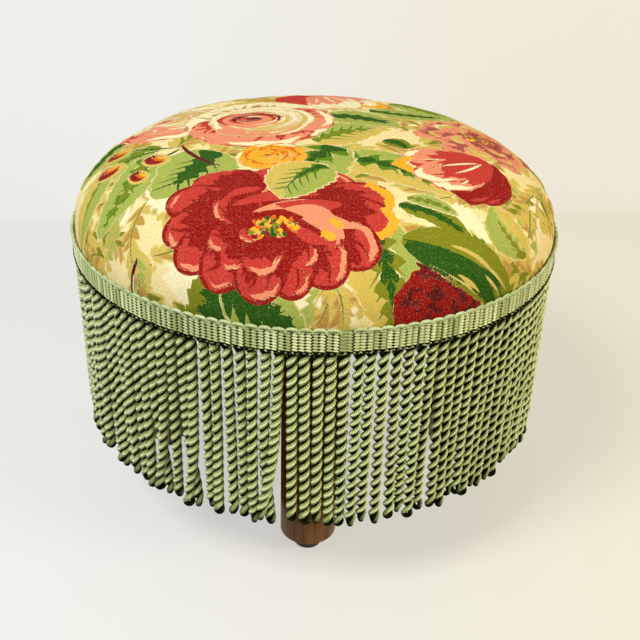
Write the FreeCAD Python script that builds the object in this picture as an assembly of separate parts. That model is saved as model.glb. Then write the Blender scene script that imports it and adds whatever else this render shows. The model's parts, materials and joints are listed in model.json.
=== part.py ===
import FreeCAD, Part
import math
import os

os.makedirs("parts", exist_ok=True)

V = FreeCAD.Vector
UP = V(0, 0, 1)
CENTRE = V(0, 0, 0)

# Driving dimensions, in millimetres and degrees.
# The origin is on the floor, under the middle of the seat. The front is towards -Y.
SEAT_RADIUS = 180.0
HEADER_TOP = 216.0
HEADER_HEIGHT = 16.5
HEADER_THICKNESS = 2.5
HEADER_JOIN_ANGLE = -84.0
HEADER_JOIN_GAP = 0.6
SKIRT_DROP = 151.0

# The seat's crown is a short upright side, two shoulder arcs and a wide arc over the middle.
SIDE_RISE = 1.4
SHOULDER_ARCS = ((42.4, 49.2), (102.6, 32.2))
LAYER_GAP = 0.2
COVER_THICKNESS = 0.8
COVER_TURN_UNDER = 30.0
COVER_EDGE_ROUNDING = 1.5
WADDING_THICKNESS = 4.0

BOARD_RADIUS = 172.0
BOARD_THICKNESS = 15.0

CORD_COUNT = 136
CORDS_PER_NODE = 4
CORD_DIAMETER = 6.6
CORD_NECK_DIAMETER = 4.0
CORD_NECK_LENGTH = 6.0
CORD_DROP_SPREAD = 3.0
CORD_SHADOW_GAP = 0.6

LEG_NAMES = ("front", "right", "back", "left")
LEG_DIAMETER = 41.0
LEG_CIRCLE_RADIUS = 122.0
LEG_FOOT_CHAMFER = 2.0
GLIDE_HEIGHT = 12.0
GLIDE_TOP_DIAMETER = 26.0
GLIDE_FOOT_DIAMETER = 20.0
GLIDE_ROUNDING = 1.5
GLIDE_RECESS_DIAMETER = 7.0
GLIDE_RECESS_DEPTH = 4.0
NAIL_HEAD_DIAMETER = 6.0
NAIL_HEAD_THICKNESS = 1.2
NAIL_DIAMETER = 3.0
NAIL_LENGTH = 30.0
NAIL_POINT = 4.0

# An M8 hanger bolt and T-nut hold each leg.
BOLT_RADIUS = 3.9
BOLT_SCREW_RADIUS = 3.6
BOLT_IN_LEG = 34.0
BOLT_POINT = 5.0
BOLT_CLEARANCE = 0.1
NUT_FLANGE_DIAMETER = 22.0
NUT_FLANGE_THICKNESS = 1.5
NUT_BARREL_DIAMETER = 10.0
NUT_BARREL_LENGTH = 10.0
NUT_BORE_RADIUS = 4.0

STAPLE_CROWN = 10.0
STAPLE_WIRE = 0.6
STAPLE_WIDTH = 1.2
STAPLE_LEG = 8.0
COVER_STAPLE_COUNT = 28
COVER_STAPLE_RADIUS = 154.0
DUST_COVER_RADIUS = 168.0
DUST_COVER_THICKNESS = 0.4
DUST_COVER_LEG_GAP = 0.8
DUST_STAPLE_COUNT = 20
DUST_STAPLE_RADIUS = 163.0

# Sizes worked out from the driving dimensions.
BOARD_BOTTOM = HEADER_TOP - BOARD_THICKNESS
HEADER_BOTTOM = HEADER_TOP - HEADER_HEIGHT
HEADER_INNER_RADIUS = SEAT_RADIUS - HEADER_THICKNESS
COVER_RADIUS = HEADER_INNER_RADIUS - LAYER_GAP
WADDING_INSET = COVER_THICKNESS + LAYER_GAP
FOAM_INSET = WADDING_INSET + WADDING_THICKNESS + LAYER_GAP
CORD_CIRCLE_RADIUS = SEAT_RADIUS - CORD_SHADOW_GAP - CORD_DIAMETER / 2
CORD_LENGTH = SKIRT_DROP - HEADER_HEIGHT
COVER_LIP_BOTTOM = BOARD_BOTTOM - COVER_THICKNESS
DUST_COVER_TOP = COVER_LIP_BOTTOM - STAPLE_WIRE - LAYER_GAP
DUST_COVER_BOTTOM = DUST_COVER_TOP - DUST_COVER_THICKNESS


def turned(points, sweep=360.0):
    """A solid turned about Z from straight edges through (radius, height) points."""
    corners = [V(radius, 0, height) for radius, height in points]
    outline = Part.makePolygon(corners + corners[:1])
    return Part.Face(outline).revolve(CENTRE, UP, sweep)


def rod(radius, bottom, top):
    return Part.makeCylinder(radius, top - bottom, V(0, 0, bottom))


def at_angle(shape, radius, degrees):
    """A copy moved out along +X by radius, then turned about Z."""
    placed = shape.copy()
    placed.translate(V(radius, 0, 0))
    placed.rotate(CENTRE, UP, degrees)
    return placed


def ring_of(shape, count, radius, first_angle=0.0):
    return [at_angle(shape, radius, first_angle + 360.0 * i / count) for i in range(count)]


def leg_angles():
    return [-90.0 + 360.0 * i / len(LEG_NAMES) for i in range(len(LEG_NAMES))]


def crown_edges(inset):
    """The crown's outline, inset from the cover's outside, from the side's foot to the axis."""
    radius, height, turn = COVER_RADIUS, HEADER_TOP + SIDE_RISE, 0.0
    edges = []
    for arc_radius, sweep in SHOULDER_ARCS:
        centre = (radius - arc_radius * math.cos(turn), height - arc_radius * math.sin(turn))
        end = turn + math.radians(sweep)
        edges.append(arc_edge(centre, arc_radius - inset, turn, end))
        radius = centre[0] + arc_radius * math.cos(end)
        height = centre[1] + arc_radius * math.sin(end)
        turn = end
    crown_radius = radius / math.cos(turn)
    centre = (0.0, height - crown_radius * math.sin(turn))
    edges.append(arc_edge(centre, crown_radius - inset, turn, math.pi / 2))
    return edges


def arc_edge(centre, radius, start, end):
    def point(angle):
        return V(centre[0] + radius * math.cos(angle), 0, centre[1] + radius * math.sin(angle))
    return Part.Arc(point(start), point((start + end) / 2), point(end)).toShape()


def line(start, end):
    return Part.makeLine(start, end)


def end_of(edges):
    return edges[-1].valueAt(edges[-1].LastParameter)


def start_of(edges):
    return edges[0].valueAt(edges[0].FirstParameter)


def crowned(inset, bottom, inner_inset=None, lip=0.0):
    """A turned solid under the crown: full to the axis, or a shell where inner_inset is given.

    A shell with a lip also turns in under its bottom by that much.
    """
    outer = crown_edges(inset)
    top, side = end_of(outer), start_of(outer)
    foot = V(side.x, 0, bottom)
    if inner_inset is None:
        axis_foot = V(0, 0, bottom)
        outline = [line(foot, side)] + outer + [line(top, axis_foot), line(axis_foot, foot)]
        return Part.Face(Part.Wire(outline)).revolve(CENTRE, UP, 360)
    inner = crown_edges(inner_inset)
    inner_top, inner_side = end_of(inner), start_of(inner)
    inner_foot = V(inner_side.x, 0, bottom)
    wall = [line(foot, side)] + outer + [line(top, inner_top)] + inner
    if not lip:
        wall = wall + [line(inner_side, inner_foot), line(inner_foot, foot)]
        return Part.Face(Part.Wire(Part.__sortEdges__(wall))).revolve(CENTRE, UP, 360)
    lip_top = bottom + inner_inset - inset
    tip = V(side.x - lip, 0, bottom)
    lip_inner, lip_corner = V(tip.x, 0, lip_top), V(inner_side.x, 0, lip_top)
    wall = wall + [line(inner_side, lip_corner), line(lip_corner, lip_inner)]
    wall = wall + [line(lip_inner, tip), line(tip, foot)]
    shell = Part.Face(Part.Wire(Part.__sortEdges__(wall))).revolve(CENTRE, UP, 360)
    rims = [edge for edge in shell.Edges if is_circle(edge, side.x, bottom)]
    return shell.makeFillet(COVER_EDGE_ROUNDING, rims)


def is_circle(edge, radius, height):
    if edge.Degenerated or not isinstance(edge.Curve, Part.Circle):
        return False
    curve = edge.Curve
    return abs(curve.Radius - radius) < 1e-6 and abs(curve.Center.z - height) < 1e-6


def staple(board_side):
    """One staple driven upwards: its crown lies along Y under board_side."""
    crown_bottom = V(-STAPLE_WIDTH / 2, -STAPLE_CROWN / 2, board_side - STAPLE_WIRE)
    crown = Part.makeBox(STAPLE_WIDTH, STAPLE_CROWN, STAPLE_WIRE, crown_bottom)
    for side in (-1, 1):
        inner = side * (STAPLE_CROWN / 2 - STAPLE_WIRE / 2) - STAPLE_WIRE / 2
        leg = Part.makeBox(STAPLE_WIDTH, STAPLE_WIRE, STAPLE_LEG, V(-STAPLE_WIDTH / 2, inner, board_side))
        crown = crown.fuse(leg)
    return crown.removeSplitter()


def bullion_cord(number):
    """A hanging cord: narrow where the header holds it, with a rounded end."""
    radius, neck = CORD_DIAMETER / 2, CORD_NECK_DIAMETER / 2
    shade = (number * 0.618034) % 1.0 - 0.5
    bottom = HEADER_BOTTOM - CORD_LENGTH + shade * CORD_DROP_SPREAD
    shoulder = HEADER_BOTTOM - CORD_NECK_LENGTH
    end_arc = arc_edge((0.0, bottom + radius), radius, -math.pi / 2, 0.0)
    outline = [
        end_arc,
        line(V(radius, 0, bottom + radius), V(radius, 0, shoulder)),
        line(V(radius, 0, shoulder), V(neck, 0, HEADER_BOTTOM)),
        line(V(neck, 0, HEADER_BOTTOM), V(0, 0, HEADER_BOTTOM)),
        line(V(0, 0, HEADER_BOTTOM), V(0, 0, bottom)),
    ]
    cord = Part.Face(Part.Wire(outline)).revolve(CENTRE, UP, 360)
    angle = -90.0 + 360.0 * (number + 0.5) / CORD_COUNT
    return at_angle(cord, CORD_CIRCLE_RADIUS, angle)


def fringe_header():
    """The woven band's strip, bent round the seat until its two ends meet."""
    gap = math.degrees(HEADER_JOIN_GAP / SEAT_RADIUS)
    corners = [
        (HEADER_INNER_RADIUS, HEADER_BOTTOM),
        (SEAT_RADIUS, HEADER_BOTTOM),
        (SEAT_RADIUS, HEADER_TOP),
        (HEADER_INNER_RADIUS, HEADER_TOP),
    ]
    band = turned(corners, 360.0 - gap)
    band.rotate(CENTRE, UP, HEADER_JOIN_ANGLE + gap / 2)
    return band


def hanger_bolt():
    """Machine thread up into the nut, wood screw down into the leg."""
    screw_end = BOARD_BOTTOM - BOLT_IN_LEG
    return turned([
        (0, screw_end),
        (BOLT_SCREW_RADIUS, screw_end + BOLT_POINT),
        (BOLT_SCREW_RADIUS, BOARD_BOTTOM),
        (BOLT_RADIUS, BOARD_BOTTOM),
        (BOLT_RADIUS, HEADER_TOP - NUT_FLANGE_THICKNESS),
        (0, HEADER_TOP - NUT_FLANGE_THICKNESS),
    ])


def t_nut():
    top = HEADER_TOP - BOLT_CLEARANCE
    flange = rod(NUT_FLANGE_DIAMETER / 2, top - NUT_FLANGE_THICKNESS, top)
    barrel = rod(NUT_BARREL_DIAMETER / 2, top - NUT_BARREL_LENGTH, top)
    bore = rod(NUT_BORE_RADIUS, top - NUT_BARREL_LENGTH, top)
    return flange.fuse(barrel).cut(bore).removeSplitter()


def seat_board(staples):
    """The plywood disc, bored and recessed for the nuts and pierced by the staples."""
    disc = rod(BOARD_RADIUS, BOARD_BOTTOM, HEADER_TOP)
    hole = rod(NUT_BARREL_DIAMETER / 2 + BOLT_CLEARANCE, BOARD_BOTTOM, HEADER_TOP)
    recess_floor = HEADER_TOP - NUT_FLANGE_THICKNESS - BOLT_CLEARANCE
    recess = rod(NUT_FLANGE_DIAMETER / 2 + BOLT_CLEARANCE, recess_floor, HEADER_TOP)
    seat_of_nut = hole.fuse(recess)
    holes = [at_angle(seat_of_nut, LEG_CIRCLE_RADIUS, angle) for angle in leg_angles()]
    return disc.cut(Part.makeCompound(holes)).cut(Part.makeCompound(staples))


def leg():
    """A plain turned post, with its foot's edge taken off and bored for bolt and nail."""
    radius = LEG_DIAMETER / 2
    post = turned([
        (0, GLIDE_HEIGHT),
        (radius - LEG_FOOT_CHAMFER, GLIDE_HEIGHT),
        (radius, GLIDE_HEIGHT + LEG_FOOT_CHAMFER),
        (radius, BOARD_BOTTOM),
        (0, BOARD_BOTTOM),
    ])
    bolt_hole = rod(BOLT_SCREW_RADIUS + BOLT_CLEARANCE, BOARD_BOTTOM - BOLT_IN_LEG - 2, BOARD_BOTTOM)
    nail_top = GLIDE_RECESS_DEPTH - NAIL_HEAD_THICKNESS + NAIL_LENGTH
    nail_hole = rod(NAIL_DIAMETER / 2 + BOLT_CLEARANCE, GLIDE_HEIGHT, nail_top + 1)
    return post.cut(bolt_hole).cut(nail_hole)


def glide():
    """A tapered foot with a rounded edge, recessed for its nail's head."""
    foot = GLIDE_FOOT_DIAMETER / 2
    body = turned([(0, 0), (foot, 0), (GLIDE_TOP_DIAMETER / 2, GLIDE_HEIGHT), (0, GLIDE_HEIGHT)])
    body = body.makeFillet(GLIDE_ROUNDING, [edge for edge in body.Edges if is_circle(edge, foot, 0)])
    recess = rod(GLIDE_RECESS_DIAMETER / 2, 0, GLIDE_RECESS_DEPTH)
    nail_hole = rod(NAIL_DIAMETER / 2 + BOLT_CLEARANCE, 0, GLIDE_HEIGHT)
    return body.cut(recess.fuse(nail_hole))


def glide_nail():
    head_bottom = GLIDE_RECESS_DEPTH - NAIL_HEAD_THICKNESS
    tip = head_bottom + NAIL_LENGTH
    return turned([
        (0, head_bottom),
        (NAIL_HEAD_DIAMETER / 2, head_bottom),
        (NAIL_HEAD_DIAMETER / 2, GLIDE_RECESS_DEPTH),
        (NAIL_DIAMETER / 2, GLIDE_RECESS_DEPTH),
        (NAIL_DIAMETER / 2, tip - NAIL_POINT),
        (0, tip),
    ])


def dust_cover(staples):
    """The black cloth under the board, cut out round the legs."""
    cloth = rod(DUST_COVER_RADIUS, DUST_COVER_BOTTOM, DUST_COVER_TOP)
    opening = rod(LEG_DIAMETER / 2 + DUST_COVER_LEG_GAP, DUST_COVER_BOTTOM, DUST_COVER_TOP)
    openings = [at_angle(opening, LEG_CIRCLE_RADIUS, angle) for angle in leg_angles()]
    return cloth.cut(Part.makeCompound(openings)).cut(Part.makeCompound(staples))


def seat():
    """The board, its padding and covers, and the staples that hold them."""
    cover_staples = ring_of(staple(COVER_LIP_BOTTOM), COVER_STAPLE_COUNT, COVER_STAPLE_RADIUS)
    dust_staples = ring_of(staple(DUST_COVER_BOTTOM), DUST_STAPLE_COUNT, DUST_STAPLE_RADIUS, 4.0)
    cover = crowned(0.0, COVER_LIP_BOTTOM, COVER_THICKNESS, COVER_TURN_UNDER)
    staples = cover_staples + dust_staples
    return {
        "seat_board": seat_board(staples),
        "foam_pad": crowned(FOAM_INSET, HEADER_TOP),
        "wadding": crowned(WADDING_INSET, BOARD_BOTTOM, WADDING_INSET + WADDING_THICKNESS),
        "cover": cover.cut(Part.makeCompound(staples)),
        "cover_staples": Part.makeCompound(cover_staples),
        "dust_cover": dust_cover(dust_staples),
        "dust_cover_staples": Part.makeCompound(dust_staples),
    }


def fringe():
    """The header and its cords, a few cords to a node."""
    nodes = {"fringe_header": fringe_header()}
    for first in range(0, CORD_COUNT, CORDS_PER_NODE):
        cords = [bullion_cord(first + i) for i in range(CORDS_PER_NODE)]
        name = "bullion_cords_%02d" % (first // CORDS_PER_NODE + 1)
        nodes[name] = Part.makeCompound(cords)
    return nodes


def legs():
    """Each leg and its glide, and the fasteners that all four share."""
    nodes = {}
    for name, angle in zip(LEG_NAMES, leg_angles()):
        nodes["leg_" + name] = at_angle(leg(), LEG_CIRCLE_RADIUS, angle)
        nodes["glide_" + name] = at_angle(glide(), LEG_CIRCLE_RADIUS, angle)
    fasteners = {"hanger_bolts": hanger_bolt(), "t_nuts": t_nut(), "glide_nails": glide_nail()}
    for name, fastener in fasteners.items():
        nodes[name] = Part.makeCompound(ring_of(fastener, len(LEG_NAMES), LEG_CIRCLE_RADIUS, -90.0))
    return nodes


def main():
    nodes = {}
    for group in (seat(), fringe(), legs()):
        nodes.update(group)
    for name, shape in nodes.items():
        shape.exportStep("parts/%s.step" % name)
    print("%d nodes, crown top at %.2f mm" % (len(nodes), nodes["cover"].BoundBox.ZMax))


main()
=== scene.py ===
import json
from math import atan, atan2, cos, hypot, pi, radians, sin, sqrt
import bpy
import numpy as np
from mathutils import Matrix, Vector


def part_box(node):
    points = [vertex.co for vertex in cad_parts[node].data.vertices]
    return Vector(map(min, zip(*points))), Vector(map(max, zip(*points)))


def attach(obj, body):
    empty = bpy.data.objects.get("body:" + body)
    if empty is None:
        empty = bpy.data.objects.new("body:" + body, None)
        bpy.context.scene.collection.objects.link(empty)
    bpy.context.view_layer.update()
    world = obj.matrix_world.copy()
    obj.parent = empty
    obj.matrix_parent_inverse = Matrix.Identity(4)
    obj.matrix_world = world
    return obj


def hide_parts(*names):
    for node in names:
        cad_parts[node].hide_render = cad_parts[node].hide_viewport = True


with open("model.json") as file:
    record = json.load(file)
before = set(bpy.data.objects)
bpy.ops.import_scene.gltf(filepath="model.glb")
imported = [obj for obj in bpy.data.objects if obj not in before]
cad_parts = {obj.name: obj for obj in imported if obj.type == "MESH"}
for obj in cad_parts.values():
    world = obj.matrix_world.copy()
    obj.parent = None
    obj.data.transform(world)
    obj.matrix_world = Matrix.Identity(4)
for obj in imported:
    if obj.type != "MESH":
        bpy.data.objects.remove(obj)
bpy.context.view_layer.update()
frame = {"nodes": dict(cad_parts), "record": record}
MM = 0.001
TAU = 2 * pi

# Sizes in millimetres, read from the frame where a node has them.
SEAT_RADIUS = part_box("fringe_header")[1].x / MM
HEADER_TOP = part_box("fringe_header")[1].z / MM
HEADER_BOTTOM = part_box("fringe_header")[0].z / MM
COVER_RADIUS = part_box("cover")[1].x / MM
COVER_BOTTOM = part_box("cover")[0].z / MM
DUST_COVER_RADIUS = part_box("dust_cover")[1].x / MM
DUST_COVER_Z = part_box("dust_cover")[0].z / MM
LEG_RADIUS = (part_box("leg_front")[1].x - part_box("leg_front")[0].x) / 2 / MM
LEG_CIRCLE = -(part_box("leg_front")[0].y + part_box("leg_front")[1].y) / 2 / MM
SIDE_RISE = 1.4
SHOULDER_ARCS = ((42.4, 49.2), (102.6, 32.2))
CORD_COUNT = 136
CORDS_PER_NODE = 4
CORD_DIAMETER = 6.6
CORD_CIRCLE = SEAT_RADIUS - 0.6 - CORD_DIAMETER / 2
JOIN_ANGLE = radians(-84.0)
SEED = 7


# Camera: the place and turn that a fit to the photograph's outline gives.
CAMERA_ELEVATION = 23.105
CAMERA_ROLL = 1.397
CAMERA_DISTANCE = 4.0 * SEAT_RADIUS
FOCAL_PIXELS = 942.15
FRAME_PIXELS = 640
AIM_PIXEL = (312.65, 212.79)
SENSOR = 36.0


def make_camera():
    """A camera aimed so that the header's top centre falls on AIM_PIXEL of the frame."""
    tilt = radians(CAMERA_ELEVATION)
    back = Vector((0, -cos(tilt), sin(tilt)))
    right = Vector((1, 0, 0))
    up = right.cross(-back)
    yaw = atan((AIM_PIXEL[0] - FRAME_PIXELS / 2) / FOCAL_PIXELS)
    pitch = atan((AIM_PIXEL[1] - FRAME_PIXELS / 2) / FOCAL_PIXELS)
    turn = Matrix.Rotation(yaw, 3, up)
    forward, right = turn @ -back, turn @ right
    turn = Matrix.Rotation(pitch, 3, right)
    forward, up = turn @ forward, turn @ up
    turn = Matrix.Rotation(-radians(CAMERA_ROLL), 3, forward)
    right, up = turn @ right, turn @ up
    place = Vector((0, 0, HEADER_TOP)) + back * CAMERA_DISTANCE
    data = bpy.data.cameras.new("camera")
    data.sensor_width = SENSOR
    data.lens = FOCAL_PIXELS / FRAME_PIXELS * SENSOR
    data.clip_start = 0.01
    camera = bpy.data.objects.new("camera", data)
    axes = Matrix((right, up, -forward)).transposed()
    camera.matrix_world = Matrix.Translation(place * MM) @ axes.to_4x4()
    bpy.context.scene.collection.objects.link(camera)
    bpy.context.scene.camera = camera


make_camera()


# The print

INKS = ("ivory", "sage", "straw", "tan", "gold", "blush", "coral", "orange", "mauve",
        "leaf", "olive", "red", "forest", "wine")
UNPRINTED = -20.0


class Cloth:
    """A printed cloth: for each ink a signed field in mm over the points, above 0 where it shows."""

    def __init__(self, across, along):
        self.x, self.y = across, along
        self.fields = {ink: np.full(len(across), UNPRINTED) for ink in INKS}

    def near(self, centre, reach):
        dx, dy = self.x - centre[0], self.y - centre[1]
        return np.nonzero(dx * dx + dy * dy < reach * reach)[0]

    def lay(self, ink, where, *shapes):
        """Print what the shapes share: its ink shows inside, and the others stop at its edge."""
        field = np.minimum.reduce(shapes)
        for name, own in self.fields.items():
            if name == ink:
                own[where] = np.maximum(own[where], field)
            else:
                own[where] = np.minimum(own[where], -field)

    def local(self, where, origin, angle):
        """Coordinates along and across a direction through origin."""
        dx, dy = self.x[where] - origin[0], self.y[where] - origin[1]
        c, s = cos(angle), sin(angle)
        return dx * c + dy * s, dy * c - dx * s

    def patch(self, centre, reach, angle=0.0):
        """The points near centre, and their coordinates along and across a direction."""
        where = self.near(centre, reach)
        return where, *self.local(where, centre, angle)

    def course(self, base, tip, grow, extra):
        """A line's length, the points near it, and their coordinates along and across it."""
        length = hypot(tip[0] - base[0], tip[1] - base[1])
        middle = ((base[0] + tip[0]) / 2, (base[1] + tip[1]) / 2)
        where = self.near(middle, length * grow + extra)
        return length, where, *self.local(where, base, atan2(tip[1] - base[1], tip[0] - base[0]))


def unit(value):
    """value held between 0 and 1."""
    return np.clip(value, 0, 1)


def wobble(t, seed):
    """A smooth wandering value of about -1 to 1 along t, where t of 1 is one wave."""
    draw = np.random.default_rng(seed)
    total = np.zeros_like(t)
    for octave in range(3):
        phase, rate = draw.uniform(0, TAU), draw.uniform(0.8, 1.25) * 2 ** octave
        total += np.sin(TAU * rate * t + phase) / 1.6 ** octave
    return total / 1.9


def fingers(t, seed):
    """Ragged brush-stroke ends along t: steep teeth of uneven length, from 0 to 1."""
    saw = np.abs((t + 0.35 * wobble(t * 0.37, seed)) % 1.0 - 0.5) * 2
    return saw * (0.65 + 0.35 * wobble(t * 0.23, seed + 1))


def polar(centre, out, angle, squash=1.0):
    """The point at a distance and a direction from centre."""
    return (centre[0] + out * cos(angle), centre[1] + out * sin(angle) * squash)


def around(centre, x, y, turn):
    """A point given from centre in a frame turned by turn."""
    c, s = cos(turn), sin(turn)
    return (centre[0] + x * c - y * s, centre[1] + x * s + y * c)


def oval(along, across, centre, half_length, half_width):
    ax, ay = (along - centre) / half_length, across / half_width
    return (1.0 - np.sqrt(ax * ax + ay * ay)) * min(half_length, half_width)


def bow(t, bend):
    """How far a line is bowed sideways at the share t of its length."""
    return bend * 4 * t * (1 - t)


def blade(along, across, length, half_width, bend=0.0, fullness=1.0, blunt=0.7):
    """A pointed stroke from 0 to length, widest where fullness puts it, bowed sideways by bend."""
    t = unit(along / length)
    profile = np.sin(pi * t ** fullness) ** blunt
    beyond = np.maximum(-along, along - length)
    return np.minimum(half_width * profile - np.abs(across - bow(t, bend)), -beyond)


def stroke(cloth, ink, start, end, half_width, bend=0.0, fullness=0.8):
    """One brush stroke between two points, pointed at both ends."""
    length, where, along, across = cloth.course(start, end, 0.6, abs(bend) + half_width + 2)
    cloth.lay(ink, where, blade(along, across, length, half_width, bend, fullness))


def petal(cloth, centre, angle, reach, width, seed, inks, lit, lean, rim, edge=None):
    """A cupped petal round its own centre, whose rim lies towards angle.

    inks are its body, its lit lobe and its pale rim. lit is how far the lobe comes in from the rim,
    lean turns it to one side, rim is how wide the pale rim is, and edge an ink for its outer border."""
    dark, mid, pale = inks
    where, along, across = cloth.patch(centre, max(reach, width) + 6, angle)
    turn = np.arctan2(across / width, along / reach)
    shape = 1 + 0.055 * wobble(turn / 1.7, seed) + 0.02 * wobble(turn * 1.4, seed + 1)
    out = np.hypot(along / reach, across / width) / shape
    size = min(reach, width)
    body = (1 - out) * size
    cloth.lay(dark, where, body)
    # Brush strokes run in from the rim towards the flower's heart.
    heart = np.arctan2(across, along + 1.7 * reach)
    teeth = fingers(heart * 2.7 * reach / 8.5, seed + 5)
    fine = fingers(heart * 2.7 * reach / 3.1, seed + 6)
    fade = np.cos(np.clip(turn - lean, -pi, pi))
    inner = 0.86 - 0.72 * lit * unit(0.2 + 0.8 * fade) + (0.40 * teeth + 0.10 * fine) * lit
    outer = 0.985 + 0.07 * wobble(turn * 0.8, seed + 2)
    lobe = (out - inner) * size, (outer - out) * size, (fade + 0.25) * size * 0.6
    cloth.lay(mid, where, *lobe, body - 0.2)
    # A fold or two of the body's colour parts the lobe.
    draw = np.random.default_rng(seed)
    for _ in range(2):
        at = draw.uniform(-0.32, 0.32)
        fold = (0.030 + 0.02 * draw.uniform()) * (1.05 - out) - np.abs(heart - at - 0.05 * np.sin(out * 5))
        cloth.lay(dark, where, fold * 2.2 * reach, body - 0.8, (0.92 - out) * size)
    if rim > 0:
        swing = 1 - ((turn - lean - 0.35) / (0.75 * min(rim, 1.4) + 0.2)) ** 2
        thick = 0.12 * rim * np.clip(swing, -1, 1)
        band = thick - np.abs(out - 0.84 + 0.03 * wobble(turn * 0.9, seed + 4))
        cloth.lay(pale, where, band * size, body - 0.8)
    if edge:
        swing = 1 - (turn / 0.9) ** 2
        ragged = 0.13 + 0.10 * fingers(turn * 2.2, seed + 11)
        cloth.lay(edge, where, (ragged - np.abs(out - 0.95)) * size, swing * 0.3 * size, body + 1.5)


def crescent(cloth, ink, centre, radius, angle, spread, thickness, squash, seed):
    """A curved stroke round centre, pointed at both ends."""
    where, dx, dy = cloth.patch(centre, radius + thickness + 4)
    dy = dy / squash
    way = (np.arctan2(dy, dx) - angle + pi) % TAU - pi
    wide = thickness / 2 * np.clip(1 - (way / spread) ** 2, -0.4, 1)
    cloth.lay(ink, where, wide - np.abs(np.hypot(dx, dy) - radius - 0.5 * wobble(way, seed + 3)))


def dab(cloth, ink, spot, reach, angle, half_length, half_width):
    """A small oval of ink."""
    where, along, across = cloth.patch(spot, reach, angle)
    cloth.lay(ink, where, oval(along, across, 0, half_length, half_width))


def stamens(cloth, centre, reach, count, seed, squash, inks):
    draw = np.random.default_rng(seed)
    for k in range(count):
        angle, out = draw.uniform(0, TAU), reach * sqrt(draw.uniform(0, 1))
        spot = polar(centre, out, angle, squash)
        lean = angle + draw.uniform(-0.5, 0.5)
        dab(cloth, inks[k % len(inks)], spot, 6, lean, draw.uniform(1.5, 3.0), draw.uniform(1.0, 1.6))


def big_peony(cloth, centre, scale, turn, seed):
    """A full peony seen from above and a little in front: back, side, front and inner petals."""
    body = dark, mid, pale = "red", "coral", "blush"

    def at(x, y):
        return around(centre, x * scale, y * scale, turn)

    # Each row: where the petal's middle lies, which way it faces, its size, its light and its rim.
    outer_petals = (
        (30, 32, 55, 26, 24, 0.65, -0.5, 0.5), (0, 36, 95, 28, 30, 0.45, 0.6, 0.0),
        (-38, 33, 128, 28, 28, 0.60, 0.7, 0.4), (-54, 20, 160, 25, 19, 1.00, -0.3, 0.5),
        (50, 20, 22, 26, 22, 1.00, 0.2, 0.5), (54, 0, 352, 23, 19, 1.10, 0.0, 0.6),
        (-58, -2, 185, 22, 16, 1.00, 0.2, 0.7), (-50, -19, 208, 23, 17, 1.05, 0.3, 0.8),
        (-34, -33, 232, 22, 17, 1.15, 0.0, 0.5), (46, -22, 325, 22, 18, 1.15, 0.6, 1.3),
        (28, -34, 300, 22, 17, 1.15, 0.5, 0.9), (8, -42, 280, 20, 15, 1.20, 0.2, 0.6),
        (-12, -43, 262, 21, 17, 1.25, 0.0, 0.9),
    )
    for k, (x, y, facing, reach, width, lit, lean, rim) in enumerate(outer_petals):
        facing = radians(facing) + turn
        if k > 2:
            dab(cloth, dark, at(x, y), (reach + 4) * scale, facing, reach * scale + 1.8, width * scale + 1.8)
        petal(cloth, at(x, y), facing, reach * scale, width * scale, seed * 31 + k, body,
              lit * 1.2, lean, rim, "gold" if k in (4, 5) else None)
    # The inner petals sit a little in front of the flower's middle.
    centre = at(0, -9)
    where, along, across = cloth.patch(at(-2, 6), 52 * scale, turn)
    ragged = 2.5 * scale * wobble(np.arctan2(across, along) / 1.2, seed)
    cloth.lay(dark, where, oval(along, across, 0, 42 * scale, 27 * scale) + ragged)
    # Half-seen petals round the heart, then the lit ones that lean over it.
    for x, y, facing, reach, width, lit, lean, rim in (
        (-30, 14, 140, 20, 11, 0.8, 0.4, 0.8), (-4, 22, 95, 24, 11, 0.9, 0.2, 0.7),
        (-34, -6, 195, 15, 11, 1.2, 0.2, 1.0), (-28, -20, 220, 13, 11, 1.2, 0.2, 0.8),
        (14, -20, 290, 15, 12, 1.1, 0.4, 0.9), (28, -10, 330, 14, 10, 1.1, 0.4, 1.0),
        (-10, -22, 255, 16, 14, 1.35, 0.1, 1.3), (-18, -5, 205, 9, 8, 1.0, 0.2, 1.1),
    ):
        petal(cloth, at(x, y), radians(facing) + turn, reach * scale, width * scale, seed * 57 + x, body,
              lit, lean, rim)
    for x, y, facing, length, width, bend, ink in (
        (-34, 20, 12, 62, 5.0, 4, mid), (-20, 12, 8, 58, 3.4, 4, pale), (-4, 20, 2, 46, 5.5, -3, mid),
        (2, 15, -22, 40, 5.5, 5, pale), (14, 6, -30, 34, 5.0, 4, pale), (8, 2, -36, 30, 3.6, -3, mid),
        (20, 16, -28, 36, 3.5, -3, pale), (-40, 28, 25, 30, 3.2, 3, mid),
    ):
        end = at(*polar((x, y), length, radians(facing)))
        stroke(cloth, ink, at(x, y), end, 1.35 * width * scale, bend * scale, 1.2)
    for x, y in ((38, 2), (33, -9)):
        where, along, across = cloth.patch(at(x, y), 9 * scale, turn - 0.6)
        ragged = 0.6 * wobble(along / 5, seed + 3)
        cloth.lay("gold", where, oval(along, across, 0, 6.0 * scale, 3.4 * scale) + ragged)
    stamens(cloth, at(-4, -2), 17 * scale, 56, seed, 0.55, ("gold", "olive", "gold", "orange", "forest"))


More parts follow.
